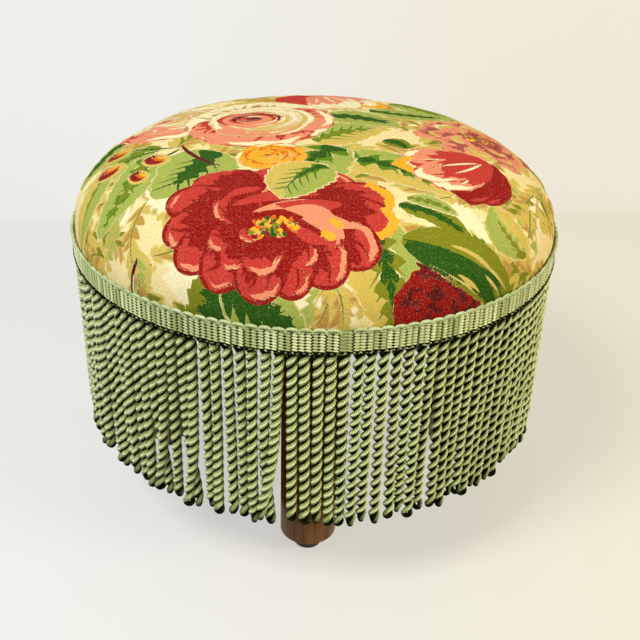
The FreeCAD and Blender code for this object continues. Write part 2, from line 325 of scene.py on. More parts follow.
def peony(cloth, centre, radius, seed, inks, squash):
    """An open bloom with many narrow petals."""
    dark, mid, pale, deep = inks
    draw = np.random.default_rng(seed)
    rings = ((11, 0.66, 0.38, 0.26), (9, 0.46, 0.33, 0.22), (7, 0.26, 0.26, 0.18))
    for ring, (count, out, reach, width) in enumerate(rings):
        for k in draw.permutation(count):
            angle = TAU * (k + 0.5 * (ring % 2)) / count + draw.uniform(-0.14, 0.14)
            spot = polar(centre, radius * out * draw.uniform(0.92, 1.08), angle, squash)
            body = (dark, mid, pale) if draw.uniform() < 0.72 else (mid, pale, "ivory")
            petal(cloth, spot, angle, radius * reach, radius * width, seed * 31 + ring * 40 + int(k), body,
                  draw.uniform(0.7, 1.2), draw.uniform(-0.6, 0.6), draw.uniform(0.3, 1.2))
    stamens(cloth, centre, radius * 0.20, 26, seed + 2, 0.8, ("gold", "orange", "olive", "red", "gold"))
    for k in range(16):
        angle = TAU * k / 16 + draw.uniform(-0.1, 0.1)
        dab(cloth, deep, polar(centre, radius * 0.26, angle, squash), 4, angle, 1.5, 1.0)


def rose(cloth, centre, radius, seed, inks, squash=1.0, facing=-pi / 2, heart=0.27):
    """A cabbage rose: wide outer petals, warm below, and curled petals round a deep heart."""
    body, shade, warm, line, deep = inks
    draw = np.random.default_rng(seed)
    plan = ((2.45, 0.50, 0.50, 0), (1.65, 0.48, 0.52, 0), (3.14, 0.52, 0.48, 0), (0.9, 0.50, 0.48, 0),
            (-2.3, 0.50, 0.50, 1), (-0.85, 0.50, 0.50, 1), (-1.57, 0.46, 0.60, 1), (0.05, 0.50, 0.46, 1))
    for k, (away, out, reach, kind) in enumerate(plan):
        angle = facing + pi / 2 + away
        own = (warm, shade, body) if kind else (line, body, "ivory")
        petal(cloth, polar(centre, radius * out, angle, squash), angle, radius * reach * 0.98,
              radius * (reach + 0.10), seed * 17 + k, own, 1.15 if kind else 1.5, draw.uniform(-0.3, 0.3), 1.0)
    mid = radius * 0.68
    where, along, across = cloth.patch(centre, mid + 6)
    turn = np.arctan2(across, along)
    cup = oval(along, across, 0, mid, mid * squash) + 1.6 * wobble(turn / 1.3, seed)
    cloth.lay(line, where, cup + 0.6)
    cloth.lay(body, where, cup - 0.4)
    low = 5 * wobble(turn / 0.9, seed + 1) - across * 0.75 - along * 0.35 - mid * 0.58
    cloth.lay(shade, where, cup - 1.0, low)
    spot = (centre[0] - 0.14 * radius, centre[1] + 0.02 * radius)
    for k in range(12):
        share = k / 11
        middle = [centre[i] + (spot[i] - centre[i]) * share + draw.uniform(-2, 2) for i in (0, 1)]
        out = mid * (0.90 - 0.60 * share)
        angle = facing + pi / 2 + draw.uniform(-1.6, 1.6)
        wide = draw.uniform(2.0, 4.2)
        swirl = (line, "straw", shade, line, "straw")[k % 5]
        crescent(cloth, swirl, middle, out, angle, draw.uniform(0.8, 1.5),
                 wide * (0.35 if swirl == line else 0.9), squash, seed + k)
        crescent(cloth, line, middle, out - wide, angle + draw.uniform(-2, 2), draw.uniform(0.7, 1.3),
                 0.9, squash, seed + 30 + k)
        below = facing + draw.uniform(-0.9, 0.9)
        if k % 2 == 0:
            crescent(cloth, shade, middle, out - 0.6, below, draw.uniform(0.4, 0.8), 3.0, squash,
                     seed + 80 + k)
    # The heart is a knot of short curled strokes round a small deep core.
    size = radius * heart
    where, along, across = cloth.patch(spot, size + 4)
    ragged = 2 * wobble(np.arctan2(across, along), seed + 9)
    cloth.lay(shade, where, oval(along, across, 0, size, size * 0.8) + ragged)
    for k in range(11):
        ink = (warm, deep, body, warm, "mauve")[k % 5]
        crescent(cloth, ink, spot, size * (0.95 - 0.075 * k), draw.uniform(-3.1, 3.1), draw.uniform(0.7, 1.5),
                 size * (0.10 if ink == body else 0.17), 0.8 * squash, seed + 120 + k)
    pit = oval(along - size * 0.10, across, 0, size * 0.24, size * 0.24)
    cloth.lay("mauve", where, pit)
    cloth.lay(deep, where, pit, across * 0.5 + 0.3)


def leaf(cloth, base, tip, half_width, seed, inks, bend, heart, far):
    """A toothed leaf: a pale body, a dark ragged heart that runs out along its veins, and a midrib."""
    light, mid, dark = inks
    length, where, along, across = cloth.course(base, tip, 0.6, half_width)
    t = unit(along / length)
    aside = across - bow(t, bend)
    tooth = (t * 8 + 0.15 * wobble(t * 3, seed)) % 1.0
    edge = half_width * (0.11 * (1 - tooth) + 0.05 * wobble(t * 2.3, seed + 2))
    shape = blade(along, across, length, half_width, bend, 0.78, 0.62) + edge
    shape = np.minimum(shape, np.minimum(along, length - along) + 0.4)
    # A pale line of bare cloth is left round each leaf, and one half is greener than the other.
    cloth.lay("ivory", where, shape + 1.0)
    cloth.lay(light, where, shape)
    if light == "straw":
        cloth.lay("sage", where, shape - 0.5, aside + half_width * 0.15 * wobble(t * 2, seed + 8))
    side = np.where(aside > 0, 1.0, -1.0)
    pitch = length / 5.4
    along_vein = (along - 1.15 * np.abs(aside)) / pitch + 0.5 * side + 0.12 * wobble(t * 2, seed + 4)
    saw = along_vein % 1.0
    size = 0.62 + 0.38 * np.sin(12.9 * np.floor(along_vein) + 3.1 * side + seed)
    for ink, share, cut in ((mid, heart, far), (dark, heart * 0.62, far * 0.8)):
        tapered = half_width * share * unit(1 - t / cut) ** 0.45
        reach = tapered * (0.30 + 0.90 * size * (1 - saw) ** 0.9)
        cloth.lay(ink, where, reach - np.abs(aside), shape - 0.9, (cut * length - along) * 0.5)
    for k in range(5):
        start, run = length * (0.12 + 0.72 * k / 5), half_width * (1.10 - 0.45 * k / 5)
        for way in (-1, 1):
            dx, dy = along - start, aside * way
            forward, aslant = dx * 0.743 + dy * 0.669, dy * 0.743 - dx * 0.669
            cloth.lay(mid, where, blade(forward, aslant, run, 0.8, -1.2, 0.7), shape - 0.6)
    cloth.lay(dark, where, blade(along, across, length * 0.97, 0.9, bend, 0.45), shape)


def striped_leaf(cloth, base, tip, half_width, seed, inks, bend):
    """A long smooth leaf with dark stripes that follow its length."""
    light, mid, dark = inks
    length, where, along, across = cloth.course(base, tip, 0.6, half_width)
    shape = blade(along, across, length, half_width, bend, 0.85, 0.6) + 0.6 * wobble(along / 26, seed)
    cloth.lay(mid, where, shape)
    lower = blade(along, across + half_width * 0.42, length * 0.86, half_width * 0.50, bend, 0.6, 0.7)
    cloth.lay(dark, where, lower + 0.8 * wobble(along / 7, seed + 1), shape)
    draw = np.random.default_rng(seed)
    for k in range(9):
        start = length * draw.uniform(0.05, 0.55)
        level = half_width * draw.uniform(-0.75, 0.7)
        run = length * draw.uniform(0.22, 0.42)
        mark = blade(along - start, across - level, run, draw.uniform(0.9, 1.9), bend * 0.3, 0.9)
        cloth.lay((light, dark, light)[k % 3], where, mark, shape - 1.0)
    cloth.lay(dark, where, blade(along, across, length, 1.1, bend * 1.1, 0.6), shape)


def spray(cloth, base, tip, count, half_width, seed, inks, bend):
    """A soft background frond: paired blades along a bowed stem."""
    draw = np.random.default_rng(seed)
    angle = atan2(tip[1] - base[1], tip[0] - base[0])
    side = (-sin(angle), cos(angle))
    for k in range(count):
        t = (k + 0.6) / count
        spot = [base[i] + (tip[i] - base[i]) * t + side[i] * bow(t, bend) for i in (0, 1)]
        for way in (-1, 1):
            run = 13.0 * (1.15 - 0.65 * t) * draw.uniform(0.8, 1.25)
            lean = angle + way * radians(draw.uniform(28, 46))
            where, along, across = cloth.patch(spot, run + 3, lean)
            shape = blade(along, across, run, half_width * draw.uniform(0.8, 1.2), way * -1.4, 0.8, 0.8)
            cloth.lay(inks[draw.integers(len(inks) - 1)], where, shape)
    stroke(cloth, inks[-1], base, tip, 0.7, bend, 0.5)


def plume(cloth, base, tip, half_width, seed, inks, bend):
    """A broad shadow leaf: a soft body with lobes, and strokes of a second ink over it."""
    body, over, line = inks
    draw = np.random.default_rng(seed)
    length, where, along, across = cloth.course(base, tip, 0.62, half_width * 1.3)
    aside = across - bow(unit(along / length), bend)
    lobes = np.abs(np.sin(pi * (along - 0.9 * np.abs(aside)) / (length / 5.5) + seed))
    shape = blade(along, across, length, half_width, bend, 0.8, 0.6) - half_width * 0.34 * (1 - lobes)
    cloth.lay(body, where, shape)
    for k in range(9):
        run = half_width * draw.uniform(0.9, 1.4)
        dx, dy = along - length * (0.06 + 0.80 * k / 9), aside * (-1, 1)[k % 2]
        mark = blade(dx * 0.80 + dy * 0.60, dy * 0.80 - dx * 0.60, run, draw.uniform(1.3, 3.0), -1.8, 0.8)
        cloth.lay(over if draw.uniform() < 0.7 else line, where, mark, shape + 2.5)
    cloth.lay(line, where, blade(along, across, length * 0.9, 0.7, bend, 0.5), shape + 1)


def hip(cloth, centre, size, angle):
    """A rose hip: a straw rim, a red body with an orange light, and a dark tip."""
    where, along, across = cloth.patch(centre, size * 2.6, angle)
    for ink, lower, middle, half_length, half_width in (
        ("straw", 0, -0.1, 1.45, 1.12), ("red", 0, 0.15, 1.05, 0.78), ("orange", 0.30, 0, 0.85, 0.38),
        ("gold", 0.48, -0.1, 0.55, 0.20),
    ):
        cloth.lay(ink, where, oval(along, across + lower * size, middle * size, size * half_length,
                                   size * half_width))
    for k in (-1, 0, 1):
        out, away = cloth.local(where, centre, angle + 0.5 * k)
        cloth.lay("wine", where, blade(out - size * 0.5, away, size * 0.8, 0.9))


def tulip(cloth, base, angle, length, seed, inks, fan, deep_side):
    """A half-open bloom seen from the side: lit long petals, and deep ones behind."""
    dark, mid, pale, deep = inks
    draw = np.random.default_rng(seed)
    plan = ((1.15, 0.85, 0.30, 1), (0.75, 1.0, 0.28, 1), (-0.95, 0.95, 0.26, 0),
            (0.30, 1.0, 0.25, 0), (-0.55, 1.06, 0.27, 0), (-0.12, 1.04, 0.25, 0))
    for k, (lean, far, width, kind) in enumerate(plan):
        way = angle + fan * (lean * deep_side)
        own, lit, rim = ((deep, deep, dark), 0.6, 0.5) if kind else ((dark, mid, pale), 1.3, 1.3)
        petal(cloth, polar(base, 0.52 * length * far, way), way, length * 0.54 * far, length * width,
              seed * 13 + k, own, lit, draw.uniform(-0.4, 0.4), rim, "gold" if k == 4 else None)
        if kind == 0:
            for j in (-1, 0, 1):
                end = polar(base, length * far * draw.uniform(0.6, 0.85), way + 0.14 * j)
                stroke(cloth, (pale, dark, pale)[j + 1], polar(base, 5, way), end, 1.3, 1.5 * j)


def dark_bloom(cloth, centre, radius, seed):
    """A deep red bloom cut off by the cover's edge: a lobed body with short darker strokes."""
    where, along, across = cloth.patch(centre, radius * 1.3, 2.0)
    turn = np.arctan2(across, along)
    cloth.lay("red", where, radius * (1 + 0.07 * wobble(turn / 1.1, seed)) - np.hypot(along, across))
    draw = np.random.default_rng(seed)
    for k in range(130):
        out, way = radius * sqrt(draw.uniform(0, 0.85)), draw.uniform(0, TAU)
        start = polar(centre, out, way)
        lean = way + draw.uniform(0.9, 2.0)
        end = polar(start, draw.uniform(6, 15), lean)
        ink = ("wine", "red", "wine", "wine", "red")[k % 5]
        stroke(cloth, ink, start, end, draw.uniform(0.8, 2.2), 1.5)


def bare(cloth, centre, half_length, half_width, angle, seed):
    """A patch where the ground shows."""
    where, along, across = cloth.patch(centre, half_length * 1.3, angle)
    ragged = 3 * wobble(np.arctan2(across, along) / 0.9, seed)
    cloth.lay("ivory", where, oval(along, across, 0, half_length, half_width) + ragged)


# The layout: places on the flat cloth in mm from its middle, with the front towards -y.
# A leaf's row is base, tip, half width, seed, inks, bend, and how broad and how far its dark heart is.

PRINT_REACH = 226
SHADOW_COUNT = 120
FRONT_SHADOW_COUNT = 34
GOLDEN_TURN = 2.39996
GREEN, BRIGHT = ("sage", "forest", "forest"), ("olive", "forest", "forest")
LIGHT, LIME = ("straw", "leaf", "forest"), ("sage", "leaf", "olive")
PALE, DUSKY = ("straw", "sage", "olive"), ("straw", "olive", "forest")
CREAM, GOLDEN = ("ivory", "blush", "coral", "tan", "wine"), ("gold", "gold", "orange", "orange", "red")
PINK, DEEP_PINK = ("coral", "blush", "ivory", "red"), ("red", "coral", "blush", "wine")
MAUVE = ("mauve", "blush", "straw", "wine")
BARE_PATCHES = (
    ((-80, -172), 24, 13, -0.9, 381), ((-2, -196), 30, 13, 0.0, 382), ((50, -70), 26, 9, -0.5, 383),
    ((-98, -100), 20, 10, -0.9, 384), ((96, -110), 22, 9, -0.6, 385), ((48, 24), 14, 8, 0.4, 386),
)
FERNS = (
    ((150, -60), (120, -150), 12, 1), ((170, -20), (165, -125), -10, 2), ((120, -85), (60, -120), -8, 3),
    ((-120, -80), (-165, -140), 8, 4), ((-110, -95), (-120, -170), -8, 5), ((-160, -30), (-190, -100), 6, 6),
    ((5, -165), (20, -215), 6, 7), ((28, -160), (-5, -205), -5, 8), ((180, 30), (205, -60), -8, 9),
    ((100, 90), (150, 130), 8, 10), ((140, 60), (190, 60), -6, 11), ((-150, 60), (-195, 90), 8, 12),
    ((-90, 110), (-140, 150), 8, 13), ((20, 150), (60, 205), 8, 14), ((100, 130), (160, 150), -8, 15),
)
LEAVES = (
    ((-72, -38), (-104, -98), 27, 21, GREEN, 6, 0.75, 0.75),
    ((-112, -20), (-165, -66), 15, 22, LIME, -6, 0.7, 0.8),
    ((-118, -40), (-152, -108), 15, 23, LIME, 8, 0.6, 0.9),
    ((-140, 25), (-178, -30), 15, 24, GREEN, -6, 0.7, 0.8),
    ((-150, -30), (-188, -92), 13, 25, PALE, 8, 0.6, 0.9),
    ((-60, -26), (-14, -40), 15, 26, GREEN, 4, 0.8, 0.8),
    ((4, 34), (62, 22), 18, 27, GREEN, 5, 0.9, 0.85),
    ((-2, -26), (46, 8), 20, 28, ("straw", "leaf", "olive"), 6, 0.35, 0.9),
    ((14, -50), (90, -92), 20, 29, LIGHT, 8, 0.6, 0.9),
    ((52, -112), (104, -132), 8, 45, BRIGHT, 5, 0.9, 0.95),
    ((58, -104), (92, -112), 6, 46, LIME, 3, 0.9, 0.95),
    ((14, -34), (-20, -112), 27, 30, LIGHT, -7, 0.62, 0.5),
    ((48, -14), (64, -30), 9, 31, BRIGHT, 3, 0.9, 0.9),
    ((60, 96), (110, 52), 17, 32, LIME, 8, 0.7, 0.9),
    ((40, 60), (104, 66), 14, 33, GREEN, -6, 0.6, 0.9),
    ((26, -128), (56, -206), 25, 34, DUSKY, 5, 0.85, 0.95),
    ((-38, -160), (-92, -202), 24, 35, BRIGHT, 7, 1.0, 0.9),
    ((-58, -172), (-6, -208), 19, 36, GREEN, -5, 1.0, 0.9),
    ((148, -118), (118, -88), 17, 37, PALE, 8, 0.6, 0.9),
    ((70, 128), (18, 176), 17, 38, GREEN, 7, 0.75, 0.85),
    ((-34, 128), (-96, 96), 17, 39, LIME, -6, 0.7, 0.9),
    ((-150, 95), (-188, 50), 15, 40, GREEN, -5, 0.7, 0.9),
    ((120, 176), (86, 118), 16, 41, LIGHT, -5, 0.7, 0.8),
    ((-60, 200), (-112, 168), 16, 42, LIGHT, 5, 0.7, 0.9),
    ((10, 196), (-52, 214), 15, 43, GREEN, 5, 0.8, 0.9),
    ((160, 110), (196, 66), 15, 44, GREEN, 5, 0.7, 0.9),
)
HIP_STEMS = (((-96, -28), (-144, -10), 4), ((-108, -30), (-144, -42), -3), ((-96, -30), (-111, -46), 2),
             ((-112, -34), (-121, -62), 3))
FRONT_HIPS = (((-146, -13), 9, 2.6), ((-147, -41), 9, 2.9), ((-111, -46), 8, 2.4), ((-121, -65), 6.5, 2.2))
BACK_HIPS = (((-128, 118), 8, 0.6), ((-140, 132), 7, 1.2), ((18, 150), 7, 2.0))


def draw_print(cloth):
    """Print the whole cloth, from the shadow foliage up to the flowers."""
    draw = np.random.default_rng(11)
    # Shadow foliage covers most of the ground.
    shadow_inks = (("straw", "tan", "olive"), ("straw", "ivory", "olive"), ("straw", "sage", "tan"),
                   ("straw", "tan", "olive"), ("tan", "straw", "tan"))
    for k in range(SHADOW_COUNT):
        spot = polar((0, 0), PRINT_REACH * sqrt((k + 0.5) / SHADOW_COUNT), GOLDEN_TURN * k)
        lean = draw.uniform(0, TAU)
        length, width = draw.uniform(44, 74), draw.uniform(11, 19)
        plume(cloth, spot, polar(spot, length, lean), width, 100 + k, shadow_inks[k % 5], draw.uniform(-9, 9))
    # It is densest in front, to the left and right of the big bloom.
    for k in range(FRONT_SHADOW_COUNT):
        left, right, low, high = (60, 185, -150, -40) if k % 2 else (-190, -100, -160, -60)
        spot = (draw.uniform(left, right), draw.uniform(low, high))
        lean = draw.uniform(-2.6, -0.6)
        length, width = draw.uniform(34, 56), draw.uniform(9, 14)
        inks = ("straw", "sage", "leaf") if k % 3 == 1 else ("straw", "tan", "olive")
        plume(cloth, spot, polar(spot, length, lean), width, 300 + k, inks, draw.uniform(-9, 9))
    for patch in BARE_PATCHES:
        bare(cloth, *patch)
    spray(cloth, (12, -172), (-6, -214), 9, 2.4, 387, ("tan", "straw", "tan", "olive"), 5)
    spray(cloth, (18, -176), (26, -214), 8, 2.2, 388, ("tan", "straw", "tan", "olive"), -4)
    for base, tip, bend, seed in FERNS:
        inks = ("straw", "tan", "straw", "olive") if seed % 2 else ("straw", "sage", "ivory", "tan")
        spray(cloth, base, tip, 9, 2.7, seed, inks, bend)
    for given in LEAVES:
        leaf(cloth, *given)
    for start, end, bend in HIP_STEMS:
        stroke(cloth, "forest", start, end, 1.2, bend)
    for given in FRONT_HIPS:
        hip(cloth, *given)
    stroke(cloth, "wine", (-96, -22), (-62, -66), 1.7, -5)
    peony(cloth, (122, 14), 50, 61, MAUVE, 0.92)
    rose(cloth, (-112, 40), 46, 62, CREAM, heart=0.16)
    tulip(cloth, (120, -34), radians(222), 62, 63, PINK, 0.62, 1)
    tulip(cloth, (2, 118), radians(-70), 58, 64, ("blush", "ivory", "ivory", "coral"), 0.9, -1)
    rose(cloth, (-42, 24), 58, 65, CREAM, heart=0.42)
    rose(cloth, (-30, -52), 25, 66, GOLDEN, 0.8, heart=0.13)
    dark_bloom(cloth, (90, -186), 36, 67)
    striped_leaf(cloth, (54, -142), (158, -156), 19, 68, DUSKY, 4)
    big_peony(cloth, (-22, -129), 0.93, 0.0, 69)
    leaf(cloth, (6, -66), (-22, -112), 20, 70, LIGHT, -6, 0.6, 0.55)
    # Painted shade: the fold at the front left shows as a thin dark line.
    stroke(cloth, "wine", (-118, -140), (-141, -167), 2.0)
    # The half that the camera doesn't see carries on in the same way.
    big_peony(cloth, (60, 188), 0.80, 2.7, 71)
    rose(cloth, (-84, 158), 46, 72, CREAM, facing=1.2)
    rose(cloth, (-10, 196), 22, 73, GOLDEN, 0.85, heart=0.13)
    peony(cloth, (160, 120), 42, 74, MAUVE, 0.92)
    peony(cloth, (-178, 70), 34, 75, ("coral", "blush", "ivory", "wine"), 0.95)
    tulip(cloth, (120, 86), radians(80), 50, 76, DEEP_PINK, 0.7, 1)
    for given in BACK_HIPS:
        hip(cloth, *given)


# Meshes

def spin(radius, angle, height):
    """Points at a radius, an angle and a height about the seat's axis."""
    return np.stack(np.broadcast_arrays(radius * np.cos(angle), radius * np.sin(angle), height), -1)


def mesh_piece(name, points, faces, uvs=None, marks=None, loop_uvs=None):
    """A smooth mesh object from arrays: points in mm, faces all of one size, uvs per point or per corner."""
    points, faces = np.asarray(points, float), np.asarray(faces, np.int32)
    size = faces.shape[1]
    mesh = bpy.data.meshes.new(name)
    mesh.vertices.add(len(points))
    mesh.vertices.foreach_set("co", (points * MM).astype(np.float32).ravel())
    mesh.loops.add(faces.size)
    mesh.loops.foreach_set("vertex_index", faces.ravel())
    mesh.polygons.add(len(faces))
    mesh.polygons.foreach_set("loop_start", np.arange(0, faces.size, size, dtype=np.int32))
    mesh.update(calc_edges=True)
    mesh.polygons.foreach_set("use_smooth", np.ones(len(faces), bool))
    if uvs is not None:
        loop_uvs = np.asarray(uvs)[faces.ravel()]
    layer = mesh.uv_layers.new(name="cloth")
    layer.data.foreach_set("uv", np.asarray(loop_uvs, np.float32).ravel())
    for mark, values in (marks or {}).items():
        kind = mesh.attributes.new(mark, "FLOAT", "POINT")
        kind.data.foreach_set("value", np.asarray(values, np.float32))
    piece = bpy.data.objects.new(name, mesh)
    bpy.context.scene.collection.objects.link(piece)
    return piece


def grid_faces(rows, columns, wrap_rows=False, wrap_columns=False):
    """Quads over a grid of points numbered row by row."""
    row = np.arange(rows if wrap_rows else rows - 1)
    column = np.arange(columns if wrap_columns else columns - 1)
    a, b = (part.ravel() for part in np.meshgrid(row, column, indexing="ij"))
    next_a, next_b = (a + 1) % rows, (b + 1) % columns
    corners = ((a, b), (a, next_b), (next_a, next_b), (next_a, b))
    return np.stack([r * columns + c for r, c in corners], 1)


def dress(piece, material, slot, *nodes):
    """A finished piece: its material, its body and the nodes that it stands for. slot is not used."""
    piece.data.materials.clear()
    piece.data.materials.append(material)
    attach(piece, "root")
    if nodes:
        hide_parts(*nodes)


# The cover

RING_STEP = 1.25
LIP = 30.0
SHELL = 0.8
ARC_STEPS = 160
EVEN_EDGE = 14.0
TUCK_ANGLE = radians(-130.2)


def crown_profile():
    """Points (radius, height) from the crown's middle out and down to the side's foot."""
    radius, height, turn = COVER_RADIUS, HEADER_TOP + SIDE_RISE, 0.0
    points = [(radius, HEADER_BOTTOM), (radius, height)]
    for arc, sweep in SHOULDER_ARCS:
        middle = (radius - arc * cos(turn), height - arc * sin(turn))
        end = turn + radians(sweep)
        points += [polar(middle, arc, angle) for angle in np.linspace(turn, end, ARC_STEPS)[1:]]
        radius, height = points[-1]
        turn = end
    arc = radius / cos(turn)
    middle = (0, height - arc * sin(turn))
    points += [polar(middle, arc, angle) for angle in np.linspace(turn, pi / 2, ARC_STEPS)[1:]]
    return np.array(points[::-1])


PROFILE = crown_profile()
RUN = np.r_[0, np.cumsum(np.hypot(*np.diff(PROFILE, axis=0).T))]
CLOTH_EDGE = float(RUN[-1])
RINGS = int(CLOTH_EDGE / RING_STEP)


def at_run(run):
    """The profile's radius and height at a run along it from the crown's middle."""
    return np.array([np.interp(run, RUN, PROFILE[:, k]) for k in (0, 1)])


def outward(run):
    """The profile's outward normal at a run: its radial and its upright part."""
    slope_r, slope_z = at_run(run + 1) - at_run(run - 1)
    long = np.hypot(slope_r, slope_z) + 1e-9
    return np.array([-slope_z / long, slope_r / long])


def within(run, inset, width):
    """1 over the cloth, falling to 0 over width and reaching it at inset from the cloth's edge."""
    return unit((CLOTH_EDGE - inset - run) / width)


def ring_angles(k):
    """The angles of ring k of a disc of points, which has 6 k of them."""
    return TAU * np.arange(6 * k) / (6 * k)


def disc_points(rings, step):
    """Evenly spaced points on a flat disc. Returns (across, along)."""
    radius = np.concatenate([[0.0]] + [np.full(6 * k, k * step) for k in range(1, rings + 1)])
    angle = np.concatenate([[0.0]] + [ring_angles(k) for k in range(1, rings + 1)])
    return radius * np.cos(angle), radius * np.sin(angle)


def disc_triangles(rings):
    """Triangles that join the rings of disc_points."""
    faces = []
    first = [0] + [1 + 3 * k * (k - 1) for k in range(1, rings + 1)]
    for k in range(rings):
        inner, outer = max(6 * k, 1), 6 * (k + 1)
        for sector in range(6):
            near, far = sector * k, sector * (k + 1)
            i = np.arange(k + 1)
            faces.append(np.stack([first[k] + (near + i) % inner, first[k + 1] + (far + i) % outer,
                                   first[k + 1] + (far + i + 1) % outer], 1))
            i = np.arange(k)
            faces.append(np.stack([first[k] + (near + i) % inner, first[k + 1] + (far + i + 1) % outer,
                                   first[k] + (near + i + 1) % inner], 1))
    return np.concatenate(faces)


def settle(across, along, run):
    """How far the cloth stands off its smooth crown, in mm: soft hollows, pulls at the edge, one tuck."""
    angle = np.arctan2(along, across)
    soft = 0.45 * wobble(across / 95, 3) * np.sin(along / 41) + 0.35 * wobble(along / 70, 4)
    edge = unit((run - 150) / 50)
    pulls = 0.55 * np.sin(28 * angle + 2.2 * np.sin(5 * angle)) * edge ** 2 * (1.06 - edge)
    aside = (angle - TUCK_ANGLE) * run
    tuck = -2.0 * np.exp(-(aside / 1.1) ** 2) + 0.7 * np.exp(-((aside - 3) / 1.8) ** 2)
    tuck = tuck * unit((run - 186) / 10) * within(run, 12, 4)
    return (soft + 4 * pulls) * within(run, EVEN_EDGE, 8) + tuck


# Blender's cloth presses a coarse copy out from inside, and the dense cover takes its unevenness.

COARSE_RINGS = 36
SPOKES = 216
STAPLES = 68
HELD_EDGE = 16.0
STAPLE_REACH = 26.0
START_INSET = 1.5
PRESS_FRAMES = 20
MOST_LIFT = 1.5
LIFT_SHARE = 0.4
PRESS = {
    "quality": 6, "mass": 0.02, "tension_stiffness": 15, "compression_stiffness": 15, "shear_stiffness": 5,
    "bending_stiffness": 0.5, "vertex_group_mass": "pins", "use_pressure": True, "uniform_pressure_force": 40,
}


def press_cloth():
    """The cloth run: pressure inside, no gravity, held below the header and near each staple.

    Returns how far the cloth stands off its mean round each ring, in mm, on a grid of rings and spokes."""
    across, along = disc_points(COARSE_RINGS, CLOTH_EDGE / COARSE_RINGS)
    run, angle = np.hypot(across, along), np.arctan2(along, across)
    # The copy starts a little inside the finished shape, apart from its held edge.
    normal_r, normal_z = outward(run)
    radius, height = at_run(run) - START_INSET * within(run, HELD_EDGE, 40) * np.array([normal_r, normal_z])
    start = spin(radius, angle, height)
    coarse = mesh_piece("coarse", start, disc_triangles(COARSE_RINGS), uvs=start[:, :2])
    pins = coarse.vertex_groups.new(name="pins")
    by_staple = np.abs((angle * STAPLES / TAU) % 1 - 0.5) > 0.32
    held = (run > CLOTH_EDGE - HELD_EDGE) | ((run > CLOTH_EDGE - STAPLE_REACH) & by_staple)
    pins.add([int(k) for k in np.nonzero(held)[0]], 1.0, "REPLACE")
    press = coarse.modifiers.new("press", "CLOTH")
    for key, value in PRESS.items():
        setattr(press.settings, key, value)
    press.settings.effector_weights.gravity = 0
    press.point_cache.frame_start = 1
    press.point_cache.frame_end = PRESS_FRAMES
    scene = bpy.context.scene
    for number in range(1, PRESS_FRAMES + 1):
        scene.frame_set(number)
    shape = coarse.evaluated_get(bpy.context.evaluated_depsgraph_get()).to_mesh()
    flat = np.empty(len(start) * 3, np.float32)
    shape.vertices.foreach_get("co", flat)
    moved = flat.reshape(-1, 3) / MM - start
    scene.frame_set(1)
    bpy.data.objects.remove(coarse)
    lift = (moved[:, 0] * np.cos(angle) + moved[:, 1] * np.sin(angle)) * normal_r + moved[:, 2] * normal_z
    turns = TAU * np.arange(SPOKES) / SPOKES
    rows = [np.zeros(SPOKES)]
    for k in range(1, COARSE_RINGS + 1):
        first = 1 + 3 * k * (k - 1)
        ring = lift[first:first + 6 * k]
        rows.append(np.interp(turns, ring_angles(k), ring - ring.mean(), period=TAU))
    return LIFT_SHARE * np.clip(np.array(rows), -MOST_LIFT, MOST_LIFT)


def from_grid(grid, run, angle):
    """Values of a ring and spoke grid at points of the cloth, blended between its four corners."""
    row = np.clip(run / CLOTH_EDGE * COARSE_RINGS, 0, COARSE_RINGS - 1e-6)
    column = (angle / TAU % 1) * SPOKES
    low, left = row.astype(int), column.astype(int) % SPOKES
    up, aside = row - low, column - column.astype(int)
    right = (left + 1) % SPOKES
    near, far = (grid[k, left] * (1 - aside) + grid[k, right] * aside for k in (low, low + 1))
    return near * (1 - up) + far * up


def make_cover():
    """The cover: a printed flat disc of points laid over the crown and turned in under the board."""
    across, along = disc_points(RINGS, RING_STEP)
    run, angle = np.hypot(across, along), np.arctan2(along, across)
    lift = settle(across, along, run)
    lift += from_grid(press_cloth(), run, angle) * within(run, EVEN_EDGE, 8)
    radius, height = at_run(run) + outward(run) * lift
    points = spin(radius, angle, height)
    cloth = Cloth(across, along)
    draw_print(cloth)
    # Under the board the cloth turns in, and its cut edge is folded back on itself.
    rim = 6 * RINGS
    edge_angle = angle[-rim:]
    rows = ((0, 1.6), (0.5, 0.5), (1.6, 0), (10, 0), (LIP - 0.5, 0), (LIP, SHELL / 2),
            (LIP - 0.5, SHELL - 0.05), (12, SHELL - 0.05))
    start = len(points) - rim
    band = grid_faces(len(rows) + 1, rim, wrap_columns=True) + start
    faces = np.concatenate([disc_triangles(RINGS), band[:, [0, 2, 1]], band[:, [0, 3, 2]]])
    out, last = CLOTH_EDGE, (COVER_RADIUS, HEADER_BOTTOM)
    points, uvs = [points], [np.stack([across, along], 1)]
    for inset, lifted in rows:
        place = (COVER_RADIUS - inset, COVER_BOTTOM + lifted)
        out += hypot(place[0] - last[0], place[1] - last[1])
        last = place
        points.append(spin(place[0], edge_angle, place[1]))
        uvs.append(spin(out, edge_angle, 0.0)[:, :2])
    marks = {}
    for ink, field in cloth.fields.items():
        marks[ink] = np.concatenate([field] + [field[-rim:]] * len(rows))
    return mesh_piece("cover_print", np.concatenate(points), faces, np.concatenate(uvs), marks)


# Tubes: a strand is a ring of points swept along a path.

TUBE_SIDES = 8
TUBE_TURN = TAU * np.arange(TUBE_SIDES) / TUBE_SIDES


